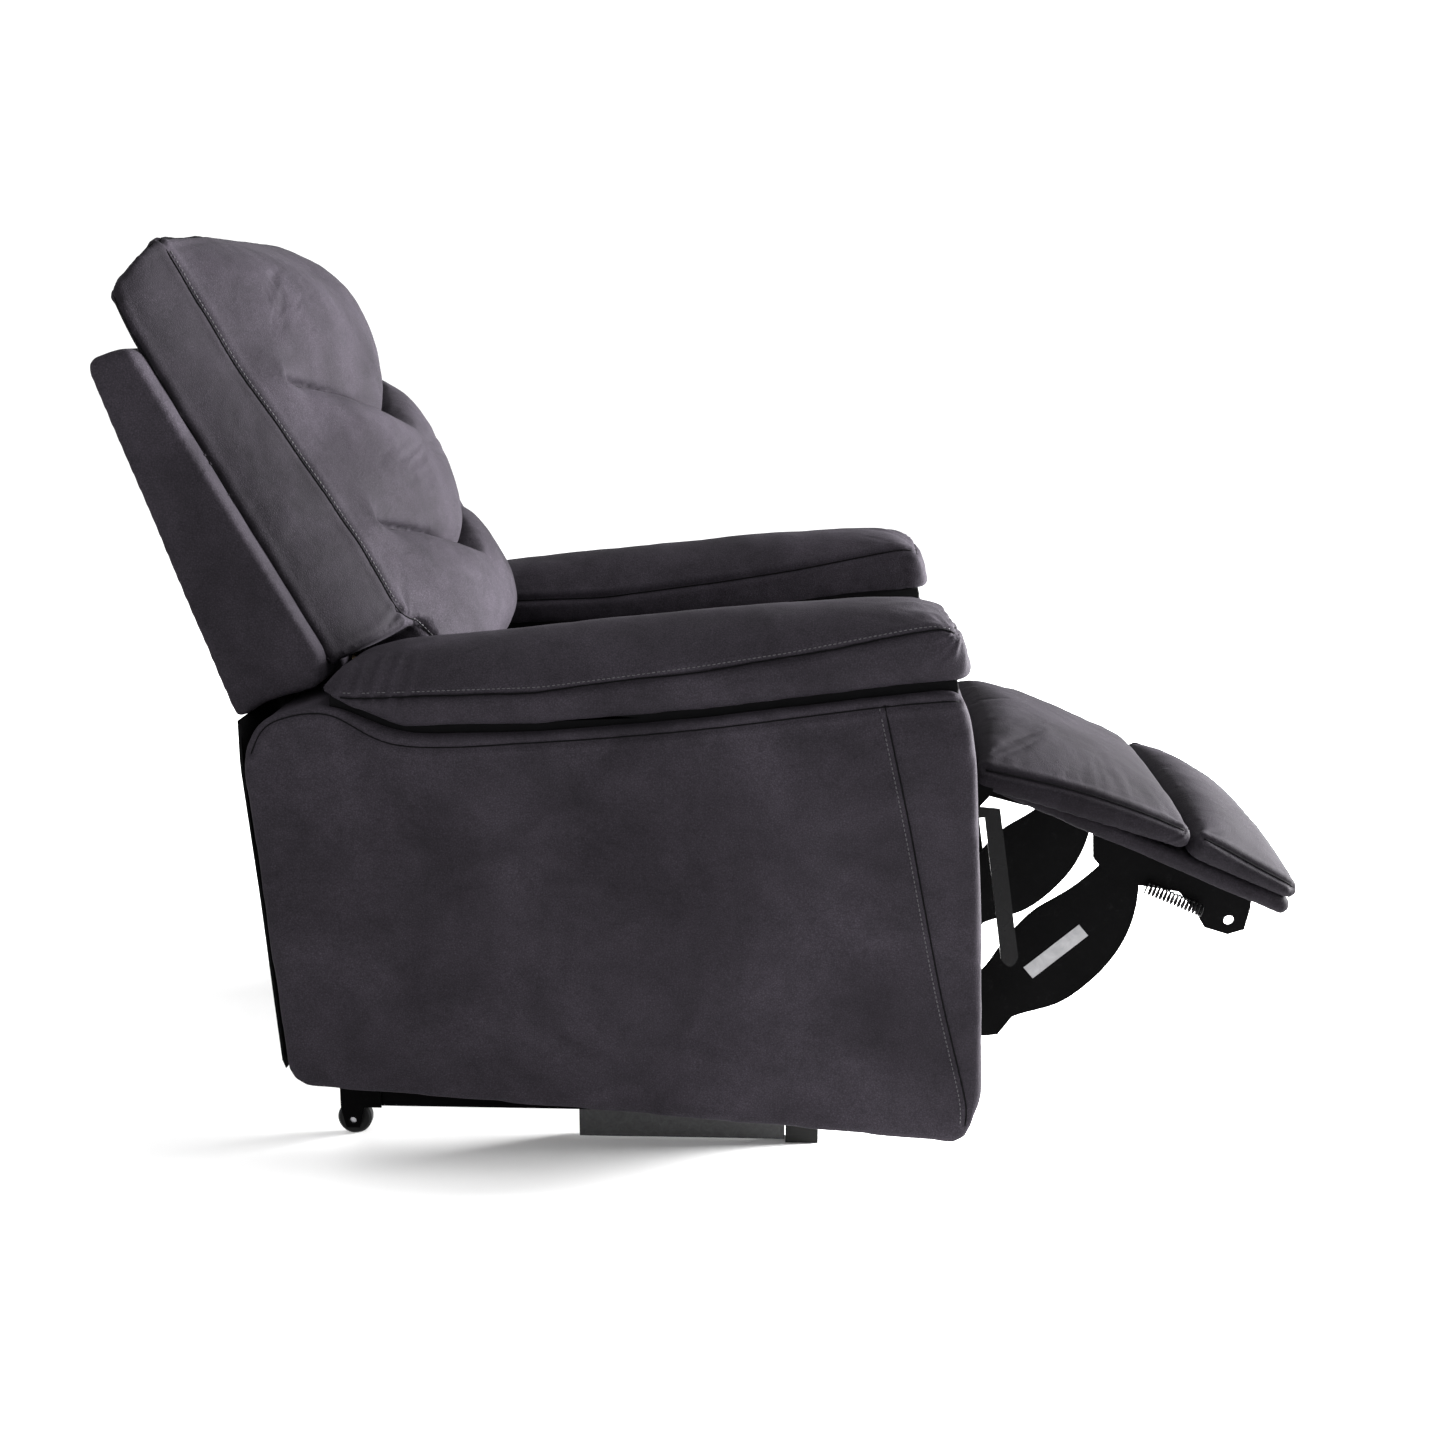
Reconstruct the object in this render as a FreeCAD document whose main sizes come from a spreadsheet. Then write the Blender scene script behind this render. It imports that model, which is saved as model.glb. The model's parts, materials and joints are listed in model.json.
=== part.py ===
import FreeCAD, Part
import Sketcher
import math
import os

# Manual recliner armchair, sitter facing +X, +Z up, floor at Z = 0.
# It is stored with the footrest open and the backrest at its upright stop.
# Lengths are millimetres, angles degrees.

os.makedirs("parts", exist_ok=True)
doc = FreeCAD.newDocument("recliner")

# ---------------------------------------------------------------- dimensions
CELLS = [
    ("arm_outer_face", 410), ("arm_inner_face", 248), ("arm_panel_thick", 13),
    ("arm_inner_thick", 12), ("arm_front_thick", 14), ("arm_pad_width", 160),
    ("arm_pad_centre", 326), ("arm_board_width", 118),
    ("arm_centre", 328.5), ("arm_post_depth", 40),
    ("plate_thick", 4), ("plate_centre", 237), ("rear_link_centre", 225),
    ("front_link_centre", 209), ("link_thick", 6), ("bracket_centre", 195),
    ("bracket_thick", 5), ("crescent_centre", 176), ("crescent_thick", 5),
    ("rail_width", 20), ("rail_height", 25), ("rail_centre", 251), ("rail_length", 522),
    ("rail_underside", 37), ("tube_wall", 2), ("cross_length", 480), ("cross_size", 22),
    ("skid_length", 240), ("skid_height", 33), ("skid_width", 18), ("foot_length", 38),
    ("foot_height", 36), ("foot_width", 22),
    ("wheel_diameter", 40), ("wheel_width", 14), ("axle_diameter", 8), ("axle_clearance", 0.05),
    ("fork_thick", 2.5), ("fork_offset", 13.5), ("axle_length", 24.2),
    ("torque_size", 20), ("torque_length", 411), ("hinge_rod_diameter", 8),
    ("hinge_rod_length", 469), ("lug_centre", 217), ("lug_thick", 6),
    ("seat_rail_width", 24), ("seat_rail_height", 28), ("seat_rail_centre", 220),
    ("seat_rail_length", 585), ("seat_rail_z", 412), ("cross_rail_length", 412),
    ("cross_rail_depth", 28), ("seat_width", 480),
    ("spring_wire", 3.4), ("spring_pitch", 26), ("spring_reach", 24),
    ("back_lean", 29), ("back_post_width", 26), ("back_post_depth", 24),
    ("back_post_length", 399), ("back_post_centre", 209), ("back_rail_height", 45),
    ("back_top_rail_height", 37), ("back_top_rail_length", 640), ("back_low_rail_length", 390),
    ("back_rail_depth", 24),
    ("back_bracket_centre", 226), ("back_bracket_thick", 4),
    ("back_width", 700), ("back_low_width", 470), ("back_core_depth", 57),
    ("back_core_round", 16), ("bolster_width", 530), ("low_bolster_width", 456),
    ("bolster_depth", 77), ("bolster_round", 18),
    ("shell_width", 740), ("shell_thick", 13), ("shell_side_centre", 363.5),
    ("footrest_slope", 23), ("board_length", 378), ("board_thick", 16), ("board_width", 456),
    ("pad_width", 476), ("footrest_travel", 66), ("crescent_turn", 44.5),
    ("label_length", 83), ("label_height", 17.5), ("label_thick", 0.4),
    ("pin_diameter", 12), ("bolt_diameter", 8), ("bolt_length", 8),
    ("front_pivot_length", 22), ("short_pivot_length", 6),
    ("front_joint_length", 25.5), ("rear_joint_length", 42),
    ("bezel_length", 74), ("bezel_height", 26), ("bezel_thick", 2.5),
    ("handle_length", 30), ("handle_height", 12), ("handle_thick", 5),
    ("rear_post_height", 325), ("front_post_height", 350), ("middle", 0),
]
dims = doc.addObject("Spreadsheet::Sheet", "dims")
for row, (alias, value) in enumerate(CELLS, start=1):
    dims.set("A%d" % row, alias)
    dims.set("B%d" % row, str(value))
    dims.setAlias("B%d" % row, alias)
doc.recompute()


def size(alias):
    return float(dims.get(alias))


DATUM_X = -10.0         # every X below is measured from a line 10 mm behind the origin

# Hinge lines seen from the side, as (X, Z).
FOOTREST_HINGE = (290.0, 424.0)
CRESCENT_PIN = (462.0, 322.0)
FRONT_JOINT = (333.0, 212.0)
REAR_JOINT = (275.0, 140.0)
BACK_HINGE = (-425.0, 478.0)
WHEEL_CENTRE = (-433.0, 20.0)
FRONT_PIVOT_HEIGHT = 388.0
REAR_PIVOT_HEIGHT = 288.0


def turned(point, centre, degrees):
    """A point turned clockwise about a centre, as a joint about +Y turns it."""
    a = math.radians(degrees)
    x, z = point[0] - centre[0], point[1] - centre[1]
    return (centre[0] + x * math.cos(a) + z * math.sin(a),
            centre[1] - x * math.sin(a) + z * math.cos(a))


def stowed_on_crescent(point):
    """Where a point of the crescent link lies once the footrest is folded away."""
    pin = turned(CRESCENT_PIN, FOOTREST_HINGE, size("footrest_travel"))
    moved = (pin[0] + point[0] - CRESCENT_PIN[0], pin[1] + point[1] - CRESCENT_PIN[1])
    return turned(moved, pin, size("crescent_turn"))


def pivot_between(start, end, height):
    """Fixed pivot at a given height, equally far from both ends of a link's swing."""
    mid = ((start[0] + end[0]) / 2, (start[1] + end[1]) / 2)
    along = (end[0] - start[0], end[1] - start[1])
    normal = (-along[1], along[0])
    t = (height - mid[1]) / normal[1]
    return (mid[0] + t * normal[0], height)


FRONT_PIVOT = pivot_between(FRONT_JOINT, stowed_on_crescent(FRONT_JOINT), FRONT_PIVOT_HEIGHT)
REAR_PIVOT = pivot_between(REAR_JOINT, stowed_on_crescent(REAR_JOINT), REAR_PIVOT_HEIGHT)

# Leaning frames: (origin X, origin Z, turn about +Y).
UPRIGHT = (0.0, 0.0, 0.0)
BACK = (-400.0, 455.0, -size("back_lean"))        # local X out of the cushion, Z up the back
FOOT = (FOOTREST_HINGE[0], FOOTREST_HINGE[1], size("footrest_slope"))
SIDES = (("right", -1), ("left", 1))
NODES = []


def place(obj, frame=UPRIGHT, y=None):
    """Set an object in a leaning frame; y is an expression for its sideways position."""
    x, z, turn = frame
    obj.Placement = FreeCAD.Placement(
        FreeCAD.Vector(x + DATUM_X, 0, z), FreeCAD.Rotation(FreeCAD.Vector(0, 1, 0), turn))
    if y:
        obj.setExpression(".Placement.Base.y", y)


def keep(obj, name):
    obj.Label = name
    NODES.append(obj)
    return obj


def origin_plane(body, role):
    return [f for f in body.Origin.OriginFeatures if f.Role == role][0]


def add_outline(sketch, runs):
    """Closed outline: each run is a smooth curve through 3+ points or a straight line."""
    first = sketch.GeometryCount
    for run in runs:
        points = [FreeCAD.Vector(x, z, 0) for x, z in run]
        if len(points) == 2:
            sketch.addGeometry(Part.LineSegment(points[0], points[1]), False)
        else:
            curve = Part.BSplineCurve()
            curve.interpolate(points)
            sketch.addGeometry(curve, False)
    last = sketch.GeometryCount - 1
    for i in range(first, last + 1):
        nxt = first if i == last else i + 1
        sketch.addConstraint(Sketcher.Constraint("Coincident", i, 2, nxt, 1))


def straight(points):
    """Runs for a polygon."""
    return [(points[i], points[(i + 1) % len(points)]) for i in range(len(points))]


def profile(name, runs, thick, y, frame=UPRIGHT, holes=(), node=True):
    """A piece cut from its side outline, thick across Y and centred on y."""
    body = doc.addObject("PartDesign::Body", name)
    sketch = body.newObject("Sketcher::SketchObject", name + "_outline")
    sketch.AttachmentSupport = [(origin_plane(body, "XZ_Plane"), "")]
    sketch.MapMode = "FlatFace"
    add_outline(sketch, runs)
    for (hx, hz), radius in holes:
        sketch.addGeometry(Part.Circle(FreeCAD.Vector(hx, hz, 0), FreeCAD.Vector(0, 0, 1), radius), False)
    pad = body.newObject("PartDesign::Pad", name + "_pad")
    pad.Profile = sketch
    pad.Midplane = True
    pad.setExpression("Length", thick)
    place(body, frame, y)
    body.Label = name
    return keep(body, name) if node else body


def block(name, lx, ly, lz, at, y, frame=UPRIGHT, node=True):
    """A straight bar; at is its low (X, Z) corner in the frame and y its middle."""
    bar = doc.addObject("Part::Box", name)
    bar.setExpression("Length", lx)
    bar.setExpression("Width", ly)
    bar.setExpression("Height", lz)
    ox, oz, turn = frame
    corner = FreeCAD.Rotation(FreeCAD.Vector(0, 1, 0), turn).multVec(FreeCAD.Vector(at[0], 0, at[1]))
    place(bar, (ox + corner.x, oz + corner.z, turn), "(%s) - (%s) / 2" % (y, ly))
    bar.Label = name
    return keep(bar, name) if node else bar


def rod(name, diameter, length, at, y, node=True):
    """A round bar along Y, centred on y."""
    bar = doc.addObject("Part::Cylinder", name)
    bar.setExpression("Radius", "(%s) / 2" % diameter)
    bar.setExpression("Height", length)
    bar.Placement = FreeCAD.Placement(FreeCAD.Vector(at[0] + DATUM_X, 0, at[1]),
                                      FreeCAD.Rotation(FreeCAD.Vector(1, 0, 0), -90))
    bar.setExpression(".Placement.Base.y", "(%s) - (%s) / 2" % (y, length))
    bar.Label = name
    return keep(bar, name) if node else bar


def cut(name, base, tool, node=True):
    obj = doc.addObject("Part::Cut", name)
    obj.Base = base
    obj.Tool = tool
    obj.Label = name
    return keep(obj, name) if node else obj


def group(name, members):
    """Several identical or mirrored pieces stored as one node of separate solids."""
    obj = doc.addObject("Part::Compound", name)
    obj.Links = members
    return keep(obj, name)


def signed(sign, expression):
    return expression if sign > 0 else "-(%s)" % expression


# ---------------------------------------------------------------- floor frame
rails = []
for side, sign in SIDES:
    outer = block(side + "_rail_outside", "dims.rail_length", "dims.rail_width", "dims.rail_height",
                  (-402, size("rail_underside")), signed(sign, "dims.rail_centre"), node=False)
    inner = block(side + "_rail_inside", "dims.rail_length + 2",
                  "dims.rail_width - 2 * dims.tube_wall", "dims.rail_height - 2 * dims.tube_wall",
                  (-403, size("rail_underside") + size("tube_wall")),
                  signed(sign, "dims.rail_centre"), node=False)
    rails.append(cut(side + "_rail", outer, inner, node=False))
group("floor_rails", rails)

for name, x in (("front_cross_tube", 78.0), ("rear_cross_tube", -384.0)):
    outer = block(name + "_outside", "dims.cross_size", "dims.cross_length", "dims.cross_size",
                  (x, 39), "dims.middle", node=False)
    inner = block(name + "_inside", "dims.cross_size - 2 * dims.tube_wall",
                  "dims.cross_length + 2", "dims.cross_size - 2 * dims.tube_wall",
                  (x + size("tube_wall"), 39 + size("tube_wall")), "dims.middle", node=False)
    cut(name, outer, inner)

group("floor_skids", [
    block(side + "_skid", "dims.skid_length", "dims.skid_width", "dims.skid_height",
          (-167, 3.5), signed(sign, "dims.rail_centre"), node=False) for side, sign in SIDES])
group("front_feet", [
    block(side + "_foot", "dims.foot_length", "dims.foot_width", "dims.foot_height",
          (74, 0), signed(sign, "dims.rail_centre"), node=False) for side, sign in SIDES])

# ---------------------------------------------------------------- rear transport wheels
forks, axles = [], []
WX, WZ = WHEEL_CENTRE
FORK = straight([(WX - 8, WZ - 9), (WX + 8, WZ - 9), (WX + 14, WZ + 16.5), (WX + 34, WZ + 16.5),
                 (WX + 34, WZ + 41.5), (WX - 14, WZ + 41.5), (WX - 14, WZ + 16.5)])
for side, sign in SIDES:
    for cheek, offset in (("inner", "- dims.fork_offset"), ("outer", "+ dims.fork_offset")):
        forks.append(profile("%s_%s_fork" % (side, cheek), FORK, "dims.fork_thick",
                             signed(sign, "dims.rail_centre " + offset),
                             holes=[((WX, WZ), 4.0)], node=False))
    axles.append(rod(side + "_axle", "dims.axle_diameter - 0.2", "dims.axle_length",
                     WHEEL_CENTRE, signed(sign, "dims.rail_centre"), node=False))
group("wheel_forks", forks)
group("wheel_axles", axles)
for side, sign in SIDES:
    body = doc.addObject("PartDesign::Body", side + "_wheel")
    section = body.newObject("Sketcher::SketchObject", side + "_wheel_section")
    section.AttachmentSupport = [(origin_plane(body, "XY_Plane"), "")]
    section.MapMode = "FlatFace"
    bore = size("axle_diameter") / 2 + size("axle_clearance")
    half, rim = size("wheel_width") / 2, size("wheel_diameter") / 2
    add_outline(section, straight([(bore, -half), (rim - 2.5, -half), (rim, -half + 2.5),
                                   (rim, half - 2.5), (rim - 2.5, half), (bore, half)]))
    turn = body.newObject("PartDesign::Revolution", side + "_wheel_turn")
    turn.Profile = section
    turn.ReferenceAxis = (section, ["V_Axis"])
    turn.Angle = 360
    place(body, (WX, WZ, 0), signed(sign, "dims.rail_centre"))
    keep(body, side + "_wheel")

# ---------------------------------------------------------------- steel side plates
PLATE = [
    ((-452, 62), (-384, 62)), ((-384, 62), (-300, 150)), ((-300, 150), (40, 150)),
    ((40, 150), (66, 62)), ((66, 62), (124, 62)), ((124, 62), (150, 210)),
    ((150, 210), (212, 300)), ((212, 300), (246, 352)), ((246, 352), (300, 412)),
    ((300, 412), (305, 424), (300, 435)), ((300, 435), (270, 440)), ((270, 440), (-380, 440)),
    ((-380, 440), (-402, 492)), ((-402, 492), (-425, 500), (-446, 488)), ((-446, 488), (-452, 440)),
    ((-452, 440), (-440, 300)), ((-440, 300), (-452, 62)),
]
rod_bore = size("hinge_rod_diameter") / 2
for side, sign in SIDES:
    profile(side + "_side_plate", PLATE, "dims.plate_thick", signed(sign, "dims.plate_centre"),
            holes=[((-250, 300), 40.0), ((-90, 300), 40.0)])
rod("footrest_hinge_rod", "dims.hinge_rod_diameter", "dims.hinge_rod_length",
    FOOTREST_HINGE, "dims.middle")
pins = []
for side, sign in SIDES:
    pins.append(rod(side + "_front_pivot", "dims.pin_diameter", "dims.front_pivot_length", FRONT_PIVOT,
                    signed(sign, "dims.plate_centre - 13.3"), node=False))
    pins.append(rod(side + "_rear_pivot", "dims.pin_diameter", "dims.short_pivot_length", REAR_PIVOT,
                    signed(sign, "dims.plate_centre - 5.3"), node=False))
    pins.append(rod(side + "_back_pivot", "dims.pin_diameter", "dims.short_pivot_length", BACK_HINGE,
                    signed(sign, "dims.plate_centre - 5.3"), node=False))
group("pivot_pins", pins)

# ---------------------------------------------------------------- seat frame and seat
group("seat_side_rails", [
    block(side + "_seat_rail", "dims.seat_rail_length", "dims.seat_rail_width",
          "dims.seat_rail_height", (-332, size("seat_rail_z")),
          signed(sign, "dims.seat_rail_centre"), node=False) for side, sign in SIDES])
for name, x in (("seat_front_rail", 224.0), ("seat_rear_rail", -330.0)):
    block(name, "dims.cross_rail_depth", "dims.cross_rail_length", "dims.seat_rail_height",
          (x, size("seat_rail_z")), "dims.middle")


def wave_spring(length, pitch, reach, wire):
    """Flat sinuous spring along local X: straight cross bars joined by half turns."""
    count = int(length // pitch)
    path, x, sign = [], 0.0, 1
    for k in range(count):
        path.append(Part.LineSegment(FreeCAD.Vector(x, -sign * reach, 0),
                                     FreeCAD.Vector(x, sign * reach, 0)).toShape())
        if k < count - 1:
            path.append(Part.Arc(FreeCAD.Vector(x, sign * reach, 0),
                                 FreeCAD.Vector(x + pitch / 2, sign * (reach + pitch / 2), 0),
                                 FreeCAD.Vector(x + pitch, sign * reach, 0)).toShape())
        x += pitch
        sign = -sign
    spine = Part.Wire(path)
    section = Part.Wire(Part.Circle(FreeCAD.Vector(0, -reach, 0), FreeCAD.Vector(0, 1, 0),
                                    wire / 2).toShape())
    return spine.makePipeShell([section], True, False)


def spring_set(name, length, sideways, frame, at):
    springs = []
    for y in sideways:
        shape = wave_spring(length, size("spring_pitch"), size("spring_reach"), size("spring_wire"))
        shape = shape.copy()
        shape.translate(FreeCAD.Vector(0, y, 0))
        springs.append(shape)
    obj = doc.addObject("Part::Feature", name)
    obj.Shape = Part.makeCompound(springs)
    ox, oz, turn = frame
    shift = FreeCAD.Rotation(FreeCAD.Vector(0, 1, 0), turn).multVec(FreeCAD.Vector(at[0], 0, at[1]))
    return obj, (ox + shift.x + DATUM_X, oz + shift.z)


springs, corner = spring_set("seat_springs", 574, (-150, -75, 0, 75, 150), UPRIGHT, (-312, 444))
springs.Placement = FreeCAD.Placement(FreeCAD.Vector(corner[0], 0, corner[1]), FreeCAD.Rotation())
keep(springs, "seat_springs")

SEAT = [
    ((-322, 449), (244, 449)), ((244, 449), (246, 441)), ((246, 441), (270, 440)),
    ((270, 440), (281, 470), (274, 496)), ((274, 496), (210, 512), (60, 508), (-130, 494), (-322, 470)),
    ((-322, 470), (-322, 449)),
]
profile("seat_cushion", SEAT, "dims.seat_width", "dims.middle")

# ---------------------------------------------------------------- arms
PANEL = [
    ((-480, 336), (-495, 489)), ((-495, 489), (-475, 530), (-406, 548)),
    ((-406, 548), (-329, 514)), ((-329, 514), (-182, 519), (-16, 534), (168, 559), (244, 567)),
    ((244, 567), (258, 544)), ((258, 544), (267, 496), (276, 346), (283, 122)),
    ((283, 122), (265, 72)), ((265, 72), (231, 75)), ((231, 75), (-126, 103), (-447, 125)),
    ((-447, 125), (-463, 138)), ((-463, 138), (-480, 336)),
]
INNER = straight([(-476, 160), (-470, 480), (-400, 512), (-330, 500), (100, 516), (240, 520), (262, 150)])
PAD = [
    ((-400, 553), (-325, 519)), ((-325, 519), (-182, 524), (-16, 539), (168, 564), (247, 572)),
    ((247, 572), (259, 600), (245, 634)), ((245, 634), (217, 648), (138, 646), (-21, 629),
                                            (-214, 606), (-344, 590)),
    ((-344, 590), (-388, 577), (-400, 553)),
]
FRONT = [
    ((247, 548), (253, 520), (262, 346), (269, 122)), ((269, 122), (283, 122)),
    ((283, 122), (276, 346), (267, 496), (258, 544)), ((258, 544), (247, 548)),
]
FRONT_INSIDE = [
    ((243, 516), (252, 346), (262, 130)), ((262, 130), (281, 130)),
    ((281, 130), (274, 346), (265, 496), (261, 516)), ((261, 516), (243, 516)),
]
boards, posts = [], []
for side, sign in SIDES:
    profile(side + "_arm_outer_panel", PANEL, "dims.arm_panel_thick",
            signed(sign, "dims.arm_outer_face - dims.arm_panel_thick / 2"))
    profile(side + "_arm_inner_panel", INNER, "dims.arm_inner_thick",
            signed(sign, "dims.arm_inner_face + dims.arm_inner_thick / 2"))
    profile(side + "_arm_front_panel", FRONT_INSIDE,
            "dims.arm_outer_face - dims.arm_inner_face - dims.arm_panel_thick - dims.arm_inner_thick - 2",
            signed(sign, "dims.arm_centre"))
    profile(side + "_arm_pad", PAD, "dims.arm_pad_width", signed(sign, "dims.arm_pad_centre"))
    boards.append(profile(side + "_arm_board", straight([
        (-325, 486), (-182, 491), (-16, 500), (236, 506), (237, 486), (-16, 480), (-325, 468)]),
        "dims.arm_board_width", signed(sign, "dims.arm_centre"), node=False))
    posts.append(block(side + "_arm_rear_post", "dims.arm_post_depth", "dims.arm_board_width",
                       "dims.rear_post_height", (-460, 140), signed(sign, "dims.arm_centre"), node=False))
    posts.append(block(side + "_arm_front_post", "dims.arm_post_depth", "dims.arm_board_width",
                       "dims.front_post_height", (190, 125), signed(sign, "dims.arm_centre"), node=False))
group("arm_boards", boards)
group("arm_posts", posts)

bolts = []
for side, sign in SIDES:
    for x, z in ((-380, 260), (-380, 400), (-10, 200), (-10, 400), (160, 400)):
        bolts.append(rod("%s_bolt_%d" % (side, len(bolts)), "dims.bolt_diameter", "dims.bolt_length", (x, z),
                         signed(sign, "dims.plate_centre + 6.5"), node=False))
group("arm_bolts", bolts)

# ---------------------------------------------------------------- pull-tab release on the right arm
bezel = block("bezel_plate", "dims.bezel_length", "dims.bezel_thick", "dims.bezel_height",
              (96, 493), "-(dims.arm_inner_face - 1.5)", node=False)
well = block("bezel_window", "dims.bezel_length - 16", "dims.bezel_thick + 4",
             "dims.bezel_height - 10", (104, 498), "-(dims.arm_inner_face - 1.5)", node=False)
cut("release_bezel", bezel, well)
block("release_handle", "dims.handle_length", "dims.handle_thick", "dims.handle_height",
      (105, 500), "-(dims.arm_inner_face - 3.2)")

# ---------------------------------------------------------------- footrest, open
block("footrest_board", "dims.board_length", "dims.board_width", "dims.board_thick",
      (12, 2), "dims.middle", frame=FOOT)
lugs = []
LUG = straight([(-8, -6), (11.5, -10), (60, -3), (60, 1.5), (11.5, 1.5), (8, 9), (-2, 10), (-9, 3)])
for side, sign in SIDES:
    lugs.append(profile(side + "_hinge_lug", LUG, "dims.lug_thick", signed(sign, "dims.lug_centre"),
                        frame=FOOT, holes=[((0, 0), rod_bore + 0.05)], node=False))
group("footrest_hinge_lugs", lugs)


def pad_runs(x0, x1, z0, z1, crown):
    """Upholstered pad from the side: flat base, square boxing and a crowned top."""
    mid = (x0 + x1) / 2
    return [((x0, z0), (x1, z0)), ((x1, z0), (x1, z1)), ((x1, z1), (mid, z1 + crown), (x0, z1)),
            ((x0, z1), (x0, z0))]


profile("calf_pad", pad_runs(-4, 243, 19, 56, 9), "dims.pad_width", "dims.middle", frame=FOOT)
profile("foot_pad", [((246, 19), (390, 19)), ((390, 19), (397, 28), (388, 38)),
                     ((388, 38), (345, 57), (290, 68), (246, 60)), ((246, 60), (246, 19))],
        "dims.pad_width", "dims.middle", frame=FOOT)

BRACKET = straight([(150, 1), (150, -6), (163, -33), (190, -46), (226, -41), (270, -30), (298, -44),
                    (316, -57), (344, -54), (359, -41), (354, -14), (348, 1)])
group("footrest_brackets", [
    profile(side + "_footrest_bracket", BRACKET, "dims.bracket_thick",
            signed(sign, "dims.bracket_centre"), frame=FOOT, holes=[((338, -38), 6.0)],
            node=False) for side, sign in SIDES])


def coil(length, radius, pitch, wire, start):
    helix = Part.makeHelix(pitch, length, radius)
    section = Part.Wire(Part.Circle(FreeCAD.Vector(radius, 0, 0), FreeCAD.Vector(0, 1, 0),
                                    wire / 2).toShape())
    body = Part.Wire(helix.Edges).makePipeShell([section], True, True)
    body.translate(start)
    return body


coils = []
for side, sign in SIDES:
    tension = coil(70, 6.5, 4.6, 2.2, FreeCAD.Vector(0, 0, 0))
    tension.rotate(FreeCAD.Vector(0, 0, 0), FreeCAD.Vector(0, 1, 0), 90)
    tension.translate(FreeCAD.Vector(232, sign * (size("bracket_centre") + 12), -38))
    coils.append(tension)
coil_node = doc.addObject("Part::Feature", "footrest_springs")
coil_node.Shape = Part.makeCompound(coils)
coil_node.Placement = FreeCAD.Placement(
    FreeCAD.Vector(FOOT[0] + DATUM_X, 0, FOOT[1]),
    FreeCAD.Rotation(FreeCAD.Vector(0, 1, 0), FOOT[2]))
keep(coil_node, "footrest_springs")

# ---------------------------------------------------------------- linkage
CRESCENT = [
    ((450, 331), (423, 301), (394, 279), (362, 258), (343, 238), (330, 222), (306, 186), (268, 172)),
    ((268, 172), (240, 150), (262, 116)), ((262, 116), (300, 103), (326, 105)),
    ((326, 105), (342, 127)), ((342, 127), (352, 131), (393, 144), (427, 168), (455, 199), (477, 243),
                               (484, 285), (480, 325)),
    ((480, 325), (468, 338), (450, 331)),
]
for side, sign in SIDES:
    profile(side + "_crescent_link", CRESCENT, "dims.crescent_thick",
            signed(sign, "dims.crescent_centre"))
block("link_label", "dims.label_length", "dims.label_thick", "dims.label_height",
      (0, 0), "-(dims.crescent_centre + dims.crescent_thick / 2 + dims.label_thick / 2 + 0.05)",
      frame=(365, 176, -40.6))
link_pins = []
for side, sign in SIDES:
    link_pins.append(rod(side + "_front_joint_pin", "dims.pin_diameter",
                         "dims.front_joint_length", FRONT_JOINT,
                         signed(sign, "dims.crescent_centre + 16.6"), node=False))
for side, sign in SIDES:
    link_pins.append(rod(side + "_rear_joint_pin", "dims.pin_diameter",
                         "dims.rear_joint_length", REAR_JOINT,
                         signed(sign, "dims.crescent_centre + 24.8"), node=False))
group("right_link_pins", [link_pins[0], link_pins[2]])
group("left_link_pins", [link_pins[1], link_pins[3]])


def strap(start, end, width, bend=None):
    """Flat steel link with rounded ends, straight or bent through one knee."""
    path = [start] + ([bend] if bend else []) + [end]
    left, right = [], []
    for i, p in enumerate(path):
        a = path[max(i - 1, 0)]
        b = path[min(i + 1, len(path) - 1)]
        dx, dz = b[0] - a[0], b[1] - a[1]
        n = math.hypot(dx, dz)
        left.append((p[0] - dz / n * width, p[1] + dx / n * width))
        right.append((p[0] + dz / n * width, p[1] - dx / n * width))
    d0 = (path[0][0] - path[1][0], path[0][1] - path[1][1])
    d1 = (path[-1][0] - path[-2][0], path[-1][1] - path[-2][1])
    n0, n1 = math.hypot(*d0), math.hypot(*d1)
    tip0 = (path[0][0] + d0[0] / n0 * width, path[0][1] + d0[1] / n0 * width)
    tip1 = (path[-1][0] + d1[0] / n1 * width, path[-1][1] + d1[1] / n1 * width)
    runs = [(left[i], left[i + 1]) for i in range(len(left) - 1)]
    runs.append((left[-1], tip1, right[-1]))
    runs += [(right[i], right[i - 1]) for i in range(len(right) - 1, 0, -1)]
    runs.append((right[0], tip0, left[0]))
    return runs


KNEE = (308.0, 386.0)
group("front_links", [
    profile(side + "_front_link", strap(FRONT_PIVOT, FRONT_JOINT, 10.0, bend=KNEE), "dims.link_thick",
            signed(sign, "dims.front_link_centre"), node=False) for side, sign in SIDES])
block("torque_tube", "dims.torque_size", "dims.torque_length", "dims.torque_size",
      (FRONT_PIVOT[0] - size("torque_size") / 2, FRONT_PIVOT[1] - size("torque_size") / 2),
      "dims.middle")
for side, sign in SIDES:
    profile(side + "_rear_link", strap(REAR_PIVOT, REAR_JOINT, 12.0), "dims.link_thick",
            signed(sign, "dims.rear_link_centre"))

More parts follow.
